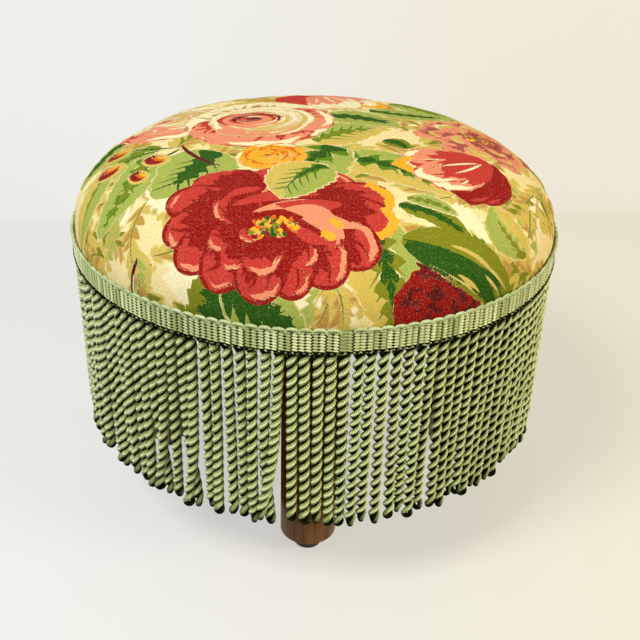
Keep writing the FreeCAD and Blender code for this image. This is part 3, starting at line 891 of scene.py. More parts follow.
def tube_rings(path, inward, half_in, half_side):
    """Rings of points about a path. inward points from each path point to the cord's own axis."""
    along = np.gradient(path, axis=0)
    along /= np.linalg.norm(along, axis=1, keepdims=True) + 1e-9
    inward = inward - along * np.sum(inward * along, axis=1, keepdims=True)
    inward /= np.linalg.norm(inward, axis=1, keepdims=True) + 1e-9
    side = np.cross(along, inward)
    ring = np.cos(TUBE_TURN)[None, :, None] * inward[:, None, :] * np.reshape(half_in, (-1, 1, 1))
    ring = ring + np.sin(TUBE_TURN)[None, :, None] * side[:, None, :] * np.reshape(half_side, (-1, 1, 1))
    return path[:, None, :] + ring


def tubes_piece(name, tubes, tones, grooves=None):
    """One mesh of several capped tubes. Each has its own tone, and a map of mm along and turns around."""
    faces, maps, caps, start = [], [], [], 0
    for rings in tubes:
        count, around_it = rings.shape[:2]
        faces.append(grid_faces(count, around_it, wrap_columns=True) + start)
        run = np.r_[0, np.cumsum(np.linalg.norm(np.diff(rings.mean(axis=1), axis=0), axis=1))]
        row = np.repeat(np.arange(count - 1), around_it)
        column = np.tile(np.arange(around_it), count - 1)
        corners = ((row, column), (row, column + 1), (row + 1, column + 1), (row + 1, column))
        maps.append(np.stack([np.stack([run[r], c / around_it], 1) for r, c in corners], 1))
        first = start + np.arange(around_it)
        for ring in (first, (first + (count - 1) * around_it)[::-1]):
            caps += [(ring[0], *ring[k:k + 3]) for k in range(1, around_it - 2, 2)]
        start += count * around_it
    faces = np.concatenate(faces + [np.array(caps)])
    maps = np.concatenate([np.concatenate(maps).reshape(-1, 2), np.zeros((len(caps) * 4, 2))])
    marks = {"tone": np.repeat(tones, [rings.shape[0] * rings.shape[1] for rings in tubes])}
    if grooves is not None:
        marks["groove"] = grooves
    points = np.concatenate([rings.reshape(-1, 3) for rings in tubes])
    return mesh_piece(name, points, faces, loop_uvs=maps, marks=marks)


# The bullion fringe: where each cord hangs, then its two strands.

LEVELS = 9
CORD_PITCH = TAU * CORD_CIRCLE / CORD_COUNT
CORD_LENGTH = 134.5
CORD_APART = 7.3
STRAND_OFFSET = 1.80
STRAND_STEP = 1.25
STRAND_START = 3.2
PUSH_ROUNDS = 120
STRAYS = 18


def hang_cords():
    """Sideways and outward offsets of each cord at each level, pushed apart until none overlap."""
    draw = np.random.default_rng(SEED)
    level = np.linspace(0, 1, LEVELS)
    lean = draw.normal(0, 2.2, CORD_COUNT)
    strays = draw.choice(CORD_COUNT, STRAYS, replace=False)
    lean[strays] += draw.choice([-3.6, 3.6], STRAYS)
    bend = draw.normal(0, 0.7, CORD_COUNT)
    out = draw.normal(0, 0.8, CORD_COUNT)
    number = np.arange(CORD_COUNT)
    sweep = 1.1 * np.sin(number * 0.21 + 0.6) + 1.9 * np.sin(number * 1.13 + 2 * np.sin(number * 0.17))
    start = draw.uniform(-0.55, 0.55, CORD_COUNT)
    side = start[:, None] + (lean + sweep)[:, None] * level ** 1.2 + bend[:, None] * np.sin(pi * level)
    away = out[:, None] * level ** 0.8 + draw.normal(0, 0.35, (CORD_COUNT, 1)) * np.sin(pi * level)
    for _ in range(PUSH_ROUNDS):
        for first in (0, 1):
            i = np.arange(first, CORD_COUNT, 2)
            j = (i + 1) % CORD_COUNT
            apart, radial = CORD_PITCH + side[j] - side[i], away[j] - away[i]
            gap = np.hypot(apart, radial)
            push = np.clip(CORD_APART - gap, 0, None) / 2
            for offsets, share in ((side, push * apart / gap), (away, push * radial / gap)):
                offsets[i] -= share
                offsets[j] += share
        away = np.clip(away, -2.2, 1.2)
        side[:, 1:-1] += 0.25 * (side[:, :-2] + side[:, 2:] - 2 * side[:, 1:-1])
    return side, away


# How loosely a cord is twisted, by its place in degrees round from the front: openly just right of
# the header's join, as the photograph shows.
LOOSE_DEGREES = (0, 5, 8, 70, 110, 200, 260, 340, 360)
LOOSENESS = (0.1, 0.1, 0.9, 0.9, 0.45, 0.2, 0.4, 0.1, 0.1)


def bullion(index, side, away, draw):
    """The rings of one bullion: a strand that hangs down, turns at the bottom and twists back up."""
    place = (index + 0.5) / CORD_COUNT
    loose = unit(np.interp(place * 360, LOOSE_DEGREES, LOOSENESS) + draw.uniform(-0.1, 0.1))
    angle = -pi / 2 + TAU * (index + 0.5) / CORD_COUNT
    front = np.array([cos(angle), sin(angle), 0.0])
    aside = np.array([-sin(angle), cos(angle), 0.0])
    length = CORD_LENGTH + draw.uniform(-3.5, 3.0)
    pitch = draw.uniform(14.4, 15.6)
    phase = draw.uniform(-0.35, 0.35)
    down = np.linspace(-STRAND_START, length - 2.4, int(length / STRAND_STEP))
    level = np.linspace(0, 1, LEVELS)
    sideways, outwards = (np.interp(unit(down / length), level, offsets) for offsets in (side, away))
    # The twist starts where the strands leave the header side by side, and eases off at the loop.
    begin = unit((down + 1.5) / 5.0)
    ease = begin * begin * (3 - 2 * begin)
    end = unit((down - (length - 8)) / 8)
    rate = np.gradient(down) * ease * (1 + 0.10 * np.sin(down / 19 + 6 * phase)) * (1 - 0.55 * end)
    twist = TAU * np.cumsum(rate) / pitch + phase * begin
    top = unit(1 - (down + STRAND_START) / 6.5)
    outwards = outwards + 2.7 * top ** 1.2
    offset = STRAND_OFFSET + 0.08 * loose + 0.3 * top + draw.uniform(0.3, 1.5) * end ** 1.5
    half_in = 2.0 * (1 - 0.15 * top) - 0.35 * end
    half_side = 2.40 - 0.58 * loose * (1 - top) - 0.35 * top - 0.5 * end * (1 - 0.6 * loose)
    axis = front * (CORD_CIRCLE + outwards)[:, None] + aside * sideways[:, None]
    axis[:, 2] = HEADER_BOTTOM - down
    strands = []
    for half in (0, pi):
        way = np.cos(twist + half)[:, None] * aside + np.sin(twist + half)[:, None] * front
        strands.append((axis + way * offset[:, None], -way))
    (first, first_in), (second, second_in) = strands
    # The loop: half a ring from one strand's end round to the other's.
    turn = np.linspace(0, pi, 9)[1:-1]
    middle, way = (first[-1] + second[-1]) / 2, (first[-1] - second[-1]) / 2
    drop = np.array([0, 0, -1.0]) * (np.linalg.norm(way) * 1.15)
    loop = middle + np.cos(turn)[:, None] * way + np.sin(turn)[:, None] * drop
    path = np.concatenate([first, loop, second[::-1]])
    inward = np.concatenate([first_in, middle - loop, second_in[::-1]])
    # How deep a point lies in the groove between the strands: none where they part at top and bottom.
    # The yarn's material paints shade in the groove and a highlight on the crown from it.
    share = unit(ease * (1 - end))
    half_in, half_side, share = (
        np.concatenate([values, np.full(len(turn), bottom), values[::-1]])
        for values, bottom in ((half_in, half_in[-1]), (half_side, half_side[-1]), (share, 0.0))
    )
    groove = share[:, None] * np.cos(TUBE_TURN)[None, :]
    return tube_rings(path, inward, half_in, half_side), groove.ravel()


def make_bullions(material):
    """The fringe's cords, one piece for each group of them that the CAD has as a node."""
    side, away = hang_cords()
    draw = np.random.default_rng(SEED + 1)
    tones = unit(draw.normal(0.5, 0.16, CORD_COUNT))
    for group in range(CORD_COUNT // CORDS_PER_NODE):
        members = range(group * CORDS_PER_NODE, (group + 1) * CORDS_PER_NODE)
        rings, grooves = zip(*(bullion(i, side[i], away[i], draw) for i in members))
        number = f"{group + 1:02d}"
        piece = tubes_piece("bullions_" + number, rings, tones[list(members)], np.concatenate(grooves))
        dress(piece, material, "fringe_cord", "bullion_cords_" + number)


# The header: wrapped ribs, two over each bullion, with a join near the front.

RIBS = 2 * CORD_COUNT
RIB_SAMPLES = 8
RIB_HEIGHT = 1.95
HEADER_ROWS = 41
WRAPS = 8
HEADER_BACK = SEAT_RADIUS - 2.5


def make_header(material):
    """The header as a ring of heights over its ribs and wraps, closed by a plain back."""
    columns = RIBS * RIB_SAMPLES
    u = np.arange(columns) / RIB_SAMPLES
    rib = np.floor(u).astype(int)
    across = (u - rib) * 2 - 1 + 1 / RIB_SAMPLES
    angle = -pi / 2 + TAU * (u + 0.5 / RIB_SAMPLES) / RIBS
    draw = np.random.default_rng(SEED + 2)
    rib_out = draw.normal(0, 0.10, RIBS)[rib]
    height = np.linspace(0, 1, HEADER_ROWS)[:, None]
    # Each rib is wrapped: neighbours touch at a wrap's crown and leave a hole between wraps, painted
    # near-black as shade.
    wrap = (height * WRAPS + 0.15 * np.sin(rib * 2.7) + 0.14 * across) % 1.0
    bulge = np.abs(np.sin(pi * wrap)) ** 0.6
    profile = np.sqrt(unit(1 - np.abs(across) ** 2.2))
    rise = 0.55 + 0.45 * bulge
    touch = 0.58 * unit((bulge - 0.80) / 0.20)
    out = RIB_HEIGHT * rise * (touch + (1 - touch) * profile) + rib_out * profile
    ends = np.sqrt(unit(1 - ((height - 0.5) / 0.5) ** 10))
    out = out * (0.35 + 0.65 * ends)
    join = (angle - JOIN_ANGLE) * SEAT_RADIUS
    fold = np.exp(-(join / 1.9) ** 4)
    strip = 1.75 + 0.18 * np.sin(height * 40) - 0.25 * np.abs(join) / 2
    out = out * (1 - fold) + strip * fold
    z = HEADER_BOTTOM + height * (HEADER_TOP - HEADER_BOTTOM) + 0.25 * np.sin(rib * 2.1) * (height < 0.1)
    front = spin(HEADER_BACK + 0.45 + out, angle, z)
    back = spin(HEADER_BACK, angle, np.array([[HEADER_TOP], [HEADER_BOTTOM]]))
    points = np.concatenate([front, back])
    rows = len(points)
    hole = unit((np.abs(across) - 0.42) / 0.30) * unit((0.97 - bulge) / 0.35)
    # Inside a pair of ribs the holes are smaller, most of all to the right of the join.
    inside = (across > 0) == (rib % 2 == 0)
    closed = np.interp(u / RIBS * 360, [0, 5, 8, 80, 140, 300, 360], [0.2, 0.2, 0.75, 0.75, 0.4, 0.2, 0.2])
    hole = hole * np.where(inside, 1 - closed, 1.0) * (1 - fold)
    marks = {"tone": np.broadcast_to(draw.uniform(0, 1, RIBS)[rib], (rows, columns)).ravel()}
    for mark, values in (("depth", np.clip(out / RIB_HEIGHT, 0, 1.1)), ("hole", hole), ("join", fold)):
        field = np.zeros((rows, columns))
        field[:HEADER_ROWS] = values
        marks[mark] = field.ravel()
    maps = np.stack(np.broadcast_arrays(angle * SEAT_RADIUS, points[:, :, 2]), 2).reshape(-1, 2)
    faces = grid_faces(rows, columns, wrap_rows=True, wrap_columns=True)
    piece = mesh_piece("fringe_header_ribs", points.reshape(-1, 3), faces, uvs=maps, marks=marks)
    dress(piece, material, "fringe_cord", "fringe_header")


def make_header_loops(material):
    """The cord that shows along the header's top: one slanting loop over each pair of ribs."""
    draw = np.random.default_rng(SEED + 3)
    tubes = []
    share = np.linspace(0, 1, 13)
    span = TAU / CORD_COUNT * 1.02
    for index in range(CORD_COUNT):
        start = -pi / 2 + TAU * (index + 0.06) / CORD_COUNT
        if abs(start + span / 2 - JOIN_ANGLE) < span * 0.45:
            continue
        angle = start + span * share
        rise = 0.55 + draw.uniform(0.9, 1.3) * np.sin(pi * unit(share * 1.12)) ** 0.6
        rise = rise - 1.7 * unit((share - 0.82) / 0.18) - 1.2 * unit((0.12 - share) / 0.12)
        radius = SEAT_RADIUS - 0.95 + 0.55 * np.sin(pi * share) - 0.7 * (share < 0.05)
        thick = 0.80 + 0.40 * np.sin(pi * share)
        path, inward = spin(radius, angle, HEADER_TOP - 0.5 + rise), spin(-1.0, angle, 0.0)
        tubes.append(tube_rings(path, inward, thick, thick))
    piece = tubes_piece("fringe_header_loops", tubes, draw.uniform(0.35, 0.9, len(tubes)))
    dress(piece, material, "fringe_cord")


# The dust cover: one sheet of cambric under the board, cut out round the legs.

LEG_HOLE = LEG_RADIUS + 0.8
CAMBRIC_STEP = 4.0
CAMBRIC_THICKNESS = 0.35
LEAST_AREA = 0.05


def outline_of(faces):
    """The directed edges that only one triangle has."""
    edges = np.concatenate([faces[:, [0, 1]], faces[:, [1, 2]], faces[:, [2, 0]]])
    key = np.sort(edges, axis=1)
    _, first, counts = np.unique(key, axis=0, return_index=True, return_counts=True)
    return edges[first[counts == 1]]


def make_dust_cover(material):
    """The cambric, whose points near each leg move to the edge of its hole."""
    rings = int(DUST_COVER_RADIUS / CAMBRIC_STEP)
    points = np.stack(disc_points(rings, DUST_COVER_RADIUS / rings), 1)
    faces = disc_triangles(rings)
    keep = np.ones(len(points), bool)
    for quarter in range(4):
        spot = np.array(polar((0, 0), LEG_CIRCLE, quarter * pi / 2))
        away = points - spot
        far = np.linalg.norm(away, axis=1)
        snap = (far >= LEG_HOLE) & (far < LEG_HOLE + 3.2)
        points[snap] = spot + away[snap] / far[snap][:, None] * LEG_HOLE
        keep &= far >= LEG_HOLE
    faces = faces[keep[faces].all(axis=1)]
    flat = points[faces]
    area = 0.5 * np.abs(np.cross(flat[:, 1] - flat[:, 0], flat[:, 2] - flat[:, 0]))
    faces = faces[area > LEAST_AREA]
    used, faces = np.unique(faces, return_inverse=True)
    points, faces = points[used], faces.reshape(-1, 3)
    middle = np.hypot(points[:, 0], points[:, 1]) / DUST_COVER_RADIUS
    sag = 0.25 * (1 - middle ** 2) + 0.10 * wobble(points[:, 0] / 60, 8) * (1 - middle ** 4)
    low = np.column_stack([points, DUST_COVER_Z - np.clip(sag, 0, None)])
    high = low + np.array([0, 0, CAMBRIC_THICKNESS])
    count = len(points)
    start, end = outline_of(faces).T
    walls = [np.stack([start, end, end + count], 1), np.stack([start, end + count, start + count], 1)]
    whole = np.concatenate([faces[:, ::-1], faces + count] + walls)
    piece = mesh_piece("dust_cover_cloth", np.concatenate([low, high]), whole, np.concatenate([points] * 2))
    dress(piece, material, "black_cambric", "dust_cover")
    return piece


# Materials

def linear(red, green, blue):
    """An 8-bit screen colour as the linear colour that a shader socket takes."""
    parts = [c / 255 for c in (red, green, blue)]
    return tuple(c / 12.92 if c <= 0.04045 else ((c + 0.055) / 1.055) ** 2.4 for c in parts) + (1.0,)


def set_socket(tree, socket, value):
    """Link another node's output to a socket, or give it a plain value."""
    if isinstance(value, bpy.types.NodeSocket):
        tree.links.new(value, socket)
    elif value is not None:
        socket.default_value = value


def add_node(tree, kind, out=0, inputs=(), **settings):
    """A new node with its settings and its inputs, given as pairs of a name or number and a value."""
    node = tree.nodes.new("ShaderNode" + kind)
    for key, value in settings.items():
        setattr(node, key, value)
    for key, value in inputs:
        set_socket(tree, node.inputs[key], value)
    return node.outputs[out]


def seen_rays(tree):
    """1 for a ray from the camera, a reflection or a view through something, otherwise 0."""
    path = tree.nodes.new("ShaderNodeLightPath").outputs
    seen = path["Is Camera Ray"]
    for ray in ("Is Glossy Ray", "Is Transmission Ray"):
        seen = add_node(tree, "Math", 0, enumerate((seen, path[ray])), operation="MAXIMUM")
    return seen


class Shader:
    """A new material and short calls that add its nodes. A colour is a socket or three 8-bit values."""

    def __init__(self, name, roughness, metallic=0.0, specular=0.4):
        self.material = bpy.data.materials.new(name)
        self.material.use_nodes = True
        self.tree = self.material.node_tree
        self.base = self.tree.nodes["Principled BSDF"]
        self.give(Roughness=roughness, Metallic=metallic, Specular_IOR_Level=specular)

    def give(self, **inputs):
        """Values or sockets for the base's own inputs."""
        for key, value in inputs.items():
            set_socket(self.tree, self.base.inputs[key.replace("_", " ")], value)

    def math(self, operation, *values):
        return add_node(self.tree, "Math", 0, enumerate(values), operation=operation)

    def times(self, first, second):
        return self.math("MULTIPLY", first, second)

    def weigh(self, first, share, second, other):
        """first times share plus second times other."""
        return self.math("ADD", self.times(first, share), self.times(second, other))

    def wave(self, value, length):
        """A sine of value with a wave of the given length."""
        return self.math("SINE", self.times(value, TAU / length))

    def mark(self, name):
        return add_node(self.tree, "Attribute", 2, attribute_name=name)

    def place(self, scale=(1, 1, 1), turn=(0, 0, 0), source="Object"):
        """Coordinates: Object in metres, or UV, which is in mm on the pieces made here."""
        where = add_node(self.tree, "TexCoord", source)
        return add_node(self.tree, "Mapping", 0, (("Vector", where), ("Scale", scale), ("Rotation", turn)))

    def axis(self, vector, number):
        return add_node(self.tree, "SeparateXYZ", number, ((0, vector),))

    def noise(self, place, scale, detail, rough):
        given = (("Vector", place), ("Scale", scale), ("Detail", detail), ("Roughness", rough))
        return add_node(self.tree, "TexNoise", 0, given)

    def grain(self, x, y, z, detail, rough, turn=(0, 0, 0), source="Object"):
        """Noise whose coordinates are scaled by x, y and z."""
        return self.noise(self.place((x, y, z), turn, source), 1.0, detail, rough)

    def ramp(self, value, low, high, bottom=0.0, top=1.0):
        names = ("Value", "From Min", "From Max", "To Min", "To Max")
        given = zip(names, (value, low, high, bottom, top))
        return add_node(self.tree, "MapRange", 0, given, interpolation_type="SMOOTHSTEP")

    def blend(self, share, first, second, kind="MIX"):
        pair = [linear(*color) if isinstance(color, tuple) else color for color in (first, second)]
        given = zip((0, 6, 7), (share, *pair))
        return add_node(self.tree, "Mix", 2, given, data_type="RGBA", blend_type=kind)

    def tint(self, color, ink, value, *limits, kind="MIX"):
        """color with as much ink over it as a ramp of value gives."""
        return self.blend(self.ramp(value, *limits), color, ink, kind)

    def finish(self, color, roughness=None, height=None, depth=0.0, strength=1.0):
        """The material with its colour, its roughness and a bump of height, whose 0 to 1 is depth mm."""
        given = (("Height", height), ("Distance", depth * MM), ("Strength", strength))
        bump = None if height is None else add_node(self.tree, "Bump", 0, given)
        self.give(Base_Color=color, Roughness=roughness, Normal=bump)
        return self.material


INK_COLORS = {
    "ground": (244, 225, 164), "ivory": (250, 239, 194), "sage": (164, 178, 80), "straw": (212, 187, 88),
    "tan": (190, 147, 64), "gold": (240, 176, 40), "blush": (236, 146, 110), "coral": (196, 52, 46),
    "orange": (222, 108, 16), "mauve": (172, 82, 74), "leaf": (88, 132, 10), "olive": (128, 132, 18),
    "red": (146, 0, 4), "forest": (28, 84, 0), "wine": (92, 0, 14),
}
SOFT_INKS = ("straw", "tan", "sage", "ivory")
INK_EDGE = -0.11
THREAD = 0.86


def printed_cloth():
    m = Shader("printed linen", 0.95, specular=0.08)
    flat = m.place(source="UV")
    ragged = m.times(m.math("SUBTRACT", m.noise(flat, 1.3, 2.0, 0.6), 0.5), 0.9)
    color = INK_COLORS["ground"]
    for ink in INKS:
        edge = m.math("ADD", m.mark(ink), ragged)
        soft = 0.9 if ink in SOFT_INKS else 0.15
        color = m.tint(color, INK_COLORS[ink], edge, INK_EDGE - soft, INK_EDGE + soft)
    # The print is a little thin and uneven, as a screen leaves it on a coarse cloth.
    color = m.tint(color, (240, 214, 170), m.noise(flat, 0.5, 4.0, 0.7), 0.5, 0.8, 0.0, 0.10)
    over = m.times(m.wave(m.axis(flat, 0), THREAD), m.wave(m.axis(flat, 1), THREAD * 1.08))
    slubs = [m.grain(x, y, 1, 2.0, 0.5, source="UV") for x, y in ((0.05, 1.1), (1.1, 0.05))]
    threads = m.weigh(slubs[0], 0.5, slubs[1], 0.5)
    speck = m.noise(flat, 0.95, 1.0, 0.4)
    # Painted shade in the weave's hollows.
    color = m.tint(color, (120, 100, 64), over, -0.9, 0.2, 0.50, 0.0, kind="MULTIPLY")
    color = m.tint(color, (130, 96, 50), speck, 0.42, 0.28, 0.0, 0.40, kind="MULTIPLY")
    color = m.tint(color, (255, 224, 176), speck, 0.56, 0.76, 0.0, 0.12)
    # Painted highlight on the weave's raised points.
    color = m.tint(color, (255, 236, 196), over, 0.5, 1.0, 0.0, 0.05)
    color = m.tint(color, (252, 236, 200), threads, 0.57, 0.72, 0.0, 0.14)
    color = m.tint(color, (150, 120, 80), threads, 0.30, 0.44, 0.25, 0.0, kind="MULTIPLY")
    height = m.weigh(over, 0.3, threads, 1.2)
    return m.finish(color, m.ramp(threads, 0.3, 0.7, 0.98, 0.90), height, 0.22, 0.7)


def bullion_yarn():
    m = Shader("bullion yarn", 0.3, specular=1.0)
    flat = m.place(source="UV")
    tone, groove = m.mark("tone"), m.mark("groove")
    # Fine gimp threads wind round each strand at a steep slant.
    wind = m.weigh(m.axis(flat, 0), 1 / 1.15, m.axis(flat, 1), 3.0)
    ridge = m.math("ABSOLUTE", m.wave(wind, 2))
    grain = m.grain(900, 900, 500, 3.0, 0.6)
    color = m.blend(tone, (58, 92, 12), (94, 122, 26))
    # Painted highlight on the crests of the gimp threads, and painted shade in the gaps between them.
    color = m.tint(color, (222, 234, 150), ridge, 0.45, 1.0, 0.0, 0.75)
    color = m.tint(color, (34, 54, 8), ridge, 0.0, 0.5, 0.45, 0.0)
    color = m.tint(color, (62, 92, 22), grain, 0.35, 0.7, 0.0, 0.25)
    # Painted highlight: the crown of each strand is made the palest.
    color = m.tint(color, (244, 250, 196), groove, -0.74, -0.985, 0.0, 0.90)
    # Painted shade: the strand's sides fall away to a near-black groove between the strands.
    color = m.blend(m.times(m.ramp(groove, -0.64, -0.02), 0.97), color, (8, 13, 2))
    m.give(Specular_IOR_Level=m.ramp(groove, -0.8, 0.0, 1.0, 0.0), Specular_Tint=linear(250, 248, 206))
    return m.finish(color, m.ramp(grain, 0.3, 0.7, 0.27, 0.36), m.weigh(ridge, 0.8, grain, 0.3), 0.10, 0.35)


def header_yarn():
    m = Shader("header yarn", 0.5, specular=0.8)
    hole, join, tone = m.mark("hole"), m.mark("join"), m.mark("tone")
    grain = m.grain(700, 700, 900, 3.0, 0.6)
    color = m.blend(tone, (150, 162, 88), (236, 240, 186))
    color = m.tint(color, (146, 168, 92), grain, 0.35, 0.7, 0.0, 0.35)
    # Painted shade where the ribs lie low between and beside the wraps.
    color = m.tint(color, (92, 112, 44), m.mark("depth"), 0.45, 0.95, 0.75, 0.0)
    # Painted shade: the holes between the wraps are near-black.
    color = m.tint(color, (6, 10, 2), hole, 0.15, 0.60)
    color = m.blend(m.times(join, 0.85), color, (122, 132, 62))
    m.give(Specular_IOR_Level=m.ramp(hole, 0.0, 0.4, 0.8, 0.0))
    return m.finish(color, m.ramp(grain, 0.3, 0.7, 0.40, 0.55), grain, 0.10, 0.6)


def loop_yarn():
    m = Shader("loop yarn", 0.5, specular=0.5)
    flat = m.place(source="UV")
    ridge = m.math("ABSOLUTE", m.wave(m.weigh(m.axis(flat, 0), 1 / 0.6, m.axis(flat, 1), 2.0), 2))
    grain = m.grain(900, 900, 900, 3.0, 0.6)
    color = m.blend(m.mark("tone"), (150, 170, 92), (212, 222, 172))
    color = m.tint(color, (120, 140, 70), grain, 0.35, 0.7, 0.0, 0.35)
    # Painted shade in the gaps between the thread's turns.
    color = m.tint(color, (70, 88, 40), ridge, 0.0, 0.5, 0.4, 0.0)
    return m.finish(color, m.ramp(grain, 0.3, 0.7, 0.42, 0.6), ridge, 0.14, 0.8)


def leg_wood():
    m = Shader("leg wood", 0.5, specular=0.12)
    streak = m.grain(95, 95, 5.5, 5.0, 0.62)
    fine = m.grain(520, 520, 16, 4.0, 0.7)
    upright = m.axis(m.place(), 2)
    color = m.blend(m.ramp(streak, 0.34, 0.66), (70, 24, 3), (138, 88, 14))
    color = m.tint(color, (104, 70, 5), m.grain(22, 22, 9, 3.0, 0.5), 0.35, 0.7, 0.0, 0.6)
    color = m.tint(color, (34, 12, 2), fine, 0.48, 0.70, 0.0, 0.75)
    # The wood turns paler below about 13 mm, at the foot's lowest edge.
    pale_foot_edge = m.ramp(upright, 0.0135, 0.0118)
    color = m.blend(m.times(pale_foot_edge, 0.6), color, (196, 150, 92))
    # Only the foot, which shows below the fringe, has its polish.
    m.give(Specular_IOR_Level=m.ramp(upright, 0.045, 0.025, 0.0, 0.35))
    return m.finish(color, m.ramp(fine, 0.3, 0.8, 0.36, 0.55), m.weigh(fine, 0.7, streak, 0.4), 0.12, 0.5)


def glide_rubber():
    m = Shader("glide rubber", 0.6, specular=0.4)
    speck = m.grain(1800, 1800, 1800, 2.0, 0.5)
    scuff = m.grain(240, 240, 900, 4.0, 0.7)
    low = m.ramp(m.axis(m.place(), 2), 0.0025, 0.0, 0.0, 0.7)
    color = m.blend(m.ramp(speck, 0.4, 0.7), (18, 17, 17), (40, 38, 36))
    color = m.blend(m.times(low, m.ramp(scuff, 0.45, 0.65)), color, (96, 92, 86))
    return m.finish(color, m.ramp(scuff, 0.3, 0.7, 0.5, 0.75), speck, 0.06, 0.6)


def plywood():
    m = Shader("plywood", 0.75, specular=0.3)
    ply = m.wave(m.axis(m.place(), 2), 0.003)
    grain = m.grain(18, 260, 30, 5.0, 0.6)
    speck = m.grain(120, 900, 900, 3.0, 0.7)
    color = m.blend(m.ramp(grain, 0.32, 0.7), (196, 160, 108), (224, 194, 146))
    color = m.tint(color, (140, 100, 58), speck, 0.5, 0.75, 0.0, 0.5)
    color = m.tint(color, (120, 84, 48), ply, -0.2, 0.2, 0.0, 0.12)
    return m.finish(color, m.ramp(speck, 0.3, 0.7, 0.66, 0.85), grain, 0.2, 0.5)


def foam():
    m = Shader("foam", 0.95, specular=0.2)
    cells = add_node(m.tree, "TexVoronoi", 0, (("Vector", m.place((700, 700, 700))), ("Scale", 1.0)))
    cloud = m.grain(14, 14, 14, 3.0, 0.5)
    color = m.blend(m.ramp(cloud, 0.35, 0.7), (236, 222, 176), (224, 204, 146))
    # Painted shade in the foam's pits.
    color = m.tint(color, (150, 130, 84), cells, 0.1, 0.6, 0.45, 0.0)
    return m.finish(color, m.ramp(cells, 0.1, 0.7, 1.0, 0.9), cells, 0.5, 0.7)


def wadding():
    m = Shader("wadding", 0.95, specular=0.2)
    fibre = m.grain(420, 90, 420, 6.0, 0.75, (0.3, 0.2, 0.5))
    cross = m.grain(90, 420, 420, 6.0, 0.75, (0.1, 0.4, -0.4))
    both = m.weigh(fibre, 0.5, cross, 0.5)
    color = m.blend(m.ramp(both, 0.38, 0.62), (216, 216, 212), (246, 246, 242))
    return m.finish(color, m.ramp(both, 0.3, 0.7, 0.9, 1.0), both, 0.8, 0.8)


def cambric():
    m = Shader("black cambric", 0.9, specular=0.2)
    flat = m.place(source="UV")
    over = m.times(m.wave(m.axis(flat, 0), 1.1), m.wave(m.axis(flat, 1), 1.1))
    dust = m.noise(flat, 0.08, 5.0, 0.65)
    # Painted shade and highlight: the weave's hollows are darker and its raised points lighter.
    color = m.blend(m.ramp(over, -0.8, 0.8), (14, 14, 15), (38, 38, 40))
    color = m.tint(color, (92, 88, 82), dust, 0.5, 0.75, 0.0, 0.35)
    return m.finish(color, m.ramp(dust, 0.3, 0.7, 0.85, 0.97), over, 0.2, 0.7)


def zinc_steel():
    m = Shader("zinc steel", 0.38, 1.0, 0.5)
    cloud = m.grain(160, 160, 160, 4.0, 0.6)
    scratch = m.grain(2400, 300, 300, 3.0, 0.7, (0.2, 0.4, 0.1))
    color = m.blend(m.ramp(cloud, 0.35, 0.7), (184, 184, 180), (210, 208, 200))
    color = m.tint(color, (130, 128, 122), scratch, 0.55, 0.75, 0.0, 0.4)
    return m.finish(color, m.ramp(scratch, 0.3, 0.7, 0.28, 0.5), scratch, 0.03, 0.5)


# The floor, the wall behind it and the lamps.

STAGE_STEPS = 25
STAGE_HALF = 2.6
FLOOR_FRONT = -1.7
WALL_FOOT = 0.495
WALL_SLANT = 0.10
WALL_HEIGHT = 2.4


def stage_material(name, cool, warm, shine):
    """A pale painted surface with painted light, cool on the left and warm on the right, that keeps part of
    each shadow.
    """
    m = Shader(name, 0.6, specular=0.2)
    cloud = m.grain(2.2, 2.2, 2.2, 3.0, 0.5)
    across = m.math("ADD", m.axis(m.place(), 0), m.times(m.math("SUBTRACT", cloud, 0.5), 0.25))
    # Painted light: cool on the left and warm on the right, for a cool light from the left and a warm one from
    # the right; the glow below shows it too.
    shade = m.blend(m.ramp(across, -0.25, 0.45), cool, warm)
    # Seen directly or in a reflection, the paint is mostly its own colour, and it throws little light back.
    seen = seen_rays(m.tree)
    m.finish(m.blend(seen, (150, 146, 138), shade))
    glow = add_node(m.tree, "Emission", 0, (("Color", shade), ("Strength", 1.0)))
    both = add_node(m.tree, "MixShader", 0, enumerate((m.times(seen, shine), m.base.outputs[0], glow)))
    # Seen from behind, the surface lets the view through.
    behind, clear = add_node(m.tree, "NewGeometry", "Backfacing"), add_node(m.tree, "BsdfTransparent")
    back = add_node(m.tree, "MixShader", 0, enumerate((behind, both, clear)))
    set_socket(m.tree, m.tree.nodes["Material Output"].inputs["Surface"], back)
    return m.material


def make_stage():
    """The floor, and a wall close behind that is turned a little from the camera's own direction."""
    across = np.linspace(-STAGE_HALF, STAGE_HALF, STAGE_STEPS)
    share = np.linspace(0, 1, STAGE_STEPS)[:, None]
    foot = WALL_FOOT + WALL_SLANT * across
    for name, shape, kept, look in (
        ("floor", (across, FLOOR_FRONT + (foot - FLOOR_FRONT) * share, 0.0), [0, 1],
         ((233, 234, 232), (236, 229, 209), 0.66)),
        ("wall", (across, foot, WALL_HEIGHT * share), [0, 2], ((240, 242, 239), (240, 233, 218), 0.75)),
    ):
        points = np.stack(np.broadcast_arrays(*shape), -1).reshape(-1, 3) / MM
        piece = mesh_piece(name, points, grid_faces(STAGE_STEPS, STAGE_STEPS), uvs=points[:, kept])
        piece.data.materials.append(stage_material(name + " paint", *look))


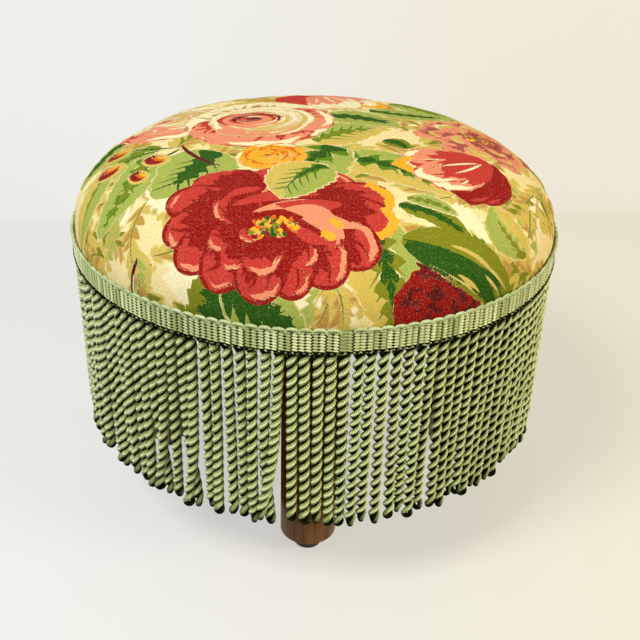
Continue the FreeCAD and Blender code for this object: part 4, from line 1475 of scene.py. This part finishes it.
def lamp(name, place, aim, size, watts, color):
    """A round lamp that shines from place towards aim."""
    data = bpy.data.lights.new(name, "AREA")
    data.shape = "DISK"
    data.size = size
    data.energy = watts
    data.color = color
    thing = bpy.data.objects.new(name, data)
    way = Vector(aim) - Vector(place)
    thing.rotation_euler = way.to_track_quat("-Z", "Y").to_euler()
    thing.location = place
    bpy.context.scene.collection.objects.link(thing)


def make_light():
    """A dim world, whose pale tone shows past the floor and the wall, and two lamps."""
    world = bpy.data.worlds.new("studio")
    world.use_nodes = True
    tree = world.node_tree
    backdrop = tree.nodes["Background"]
    backdrop.inputs["Color"].default_value = (0.98, 0.99, 1.0, 1.0)
    backdrop.inputs["Strength"].default_value = 0.20
    pale = add_node(tree, "Background", 0, (("Color", (0.85, 0.85, 0.82, 1.0)), ("Strength", 1.0)))
    both = add_node(tree, "MixShader", 0, enumerate((seen_rays(tree), backdrop.outputs[0], pale)))
    set_socket(tree, tree.nodes["World Output"].inputs["Surface"], both)
    bpy.context.scene.world = world
    lamp("key", (-0.92, -0.85, 1.75), (0, 0, 0.15), 0.80, 39, (0.98, 1.0, 0.99))
    lamp("fill", (1.5, -0.75, 0.85), (0, 0, 0.12), 0.7, 22, (1.0, 0.88, 0.60))
    bpy.context.scene.view_settings.view_transform = "Standard"


# Everything

def dress_frame():
    """The carried-over nodes keep their shapes and get materials by their slots."""
    looks = {"leg_wood": leg_wood(), "glide_rubber": glide_rubber(), "plywood": plywood(), "foam": foam(),
             "wadding": wadding(), "steel": zinc_steel(), "black_cambric": cambric()}
    for part in frame["record"]["subparts"]:
        look = looks.get(part["material_slot"])
        if look is None:
            continue
        node = frame["nodes"][part["node"]]
        if not node.material_slots:
            node.data.materials.append(look)
        for held in node.material_slots:
            held.material = look
    return looks


looks = dress_frame()
cover = make_cover()
dress(cover, printed_cloth(), "printed_cover", "cover")
make_header(header_yarn())
make_header_loops(loop_yarn())
make_bullions(bullion_yarn())
dust_cover = make_dust_cover(looks["black_cambric"])
make_stage()
make_light()
bpy.context.view_layer.update()
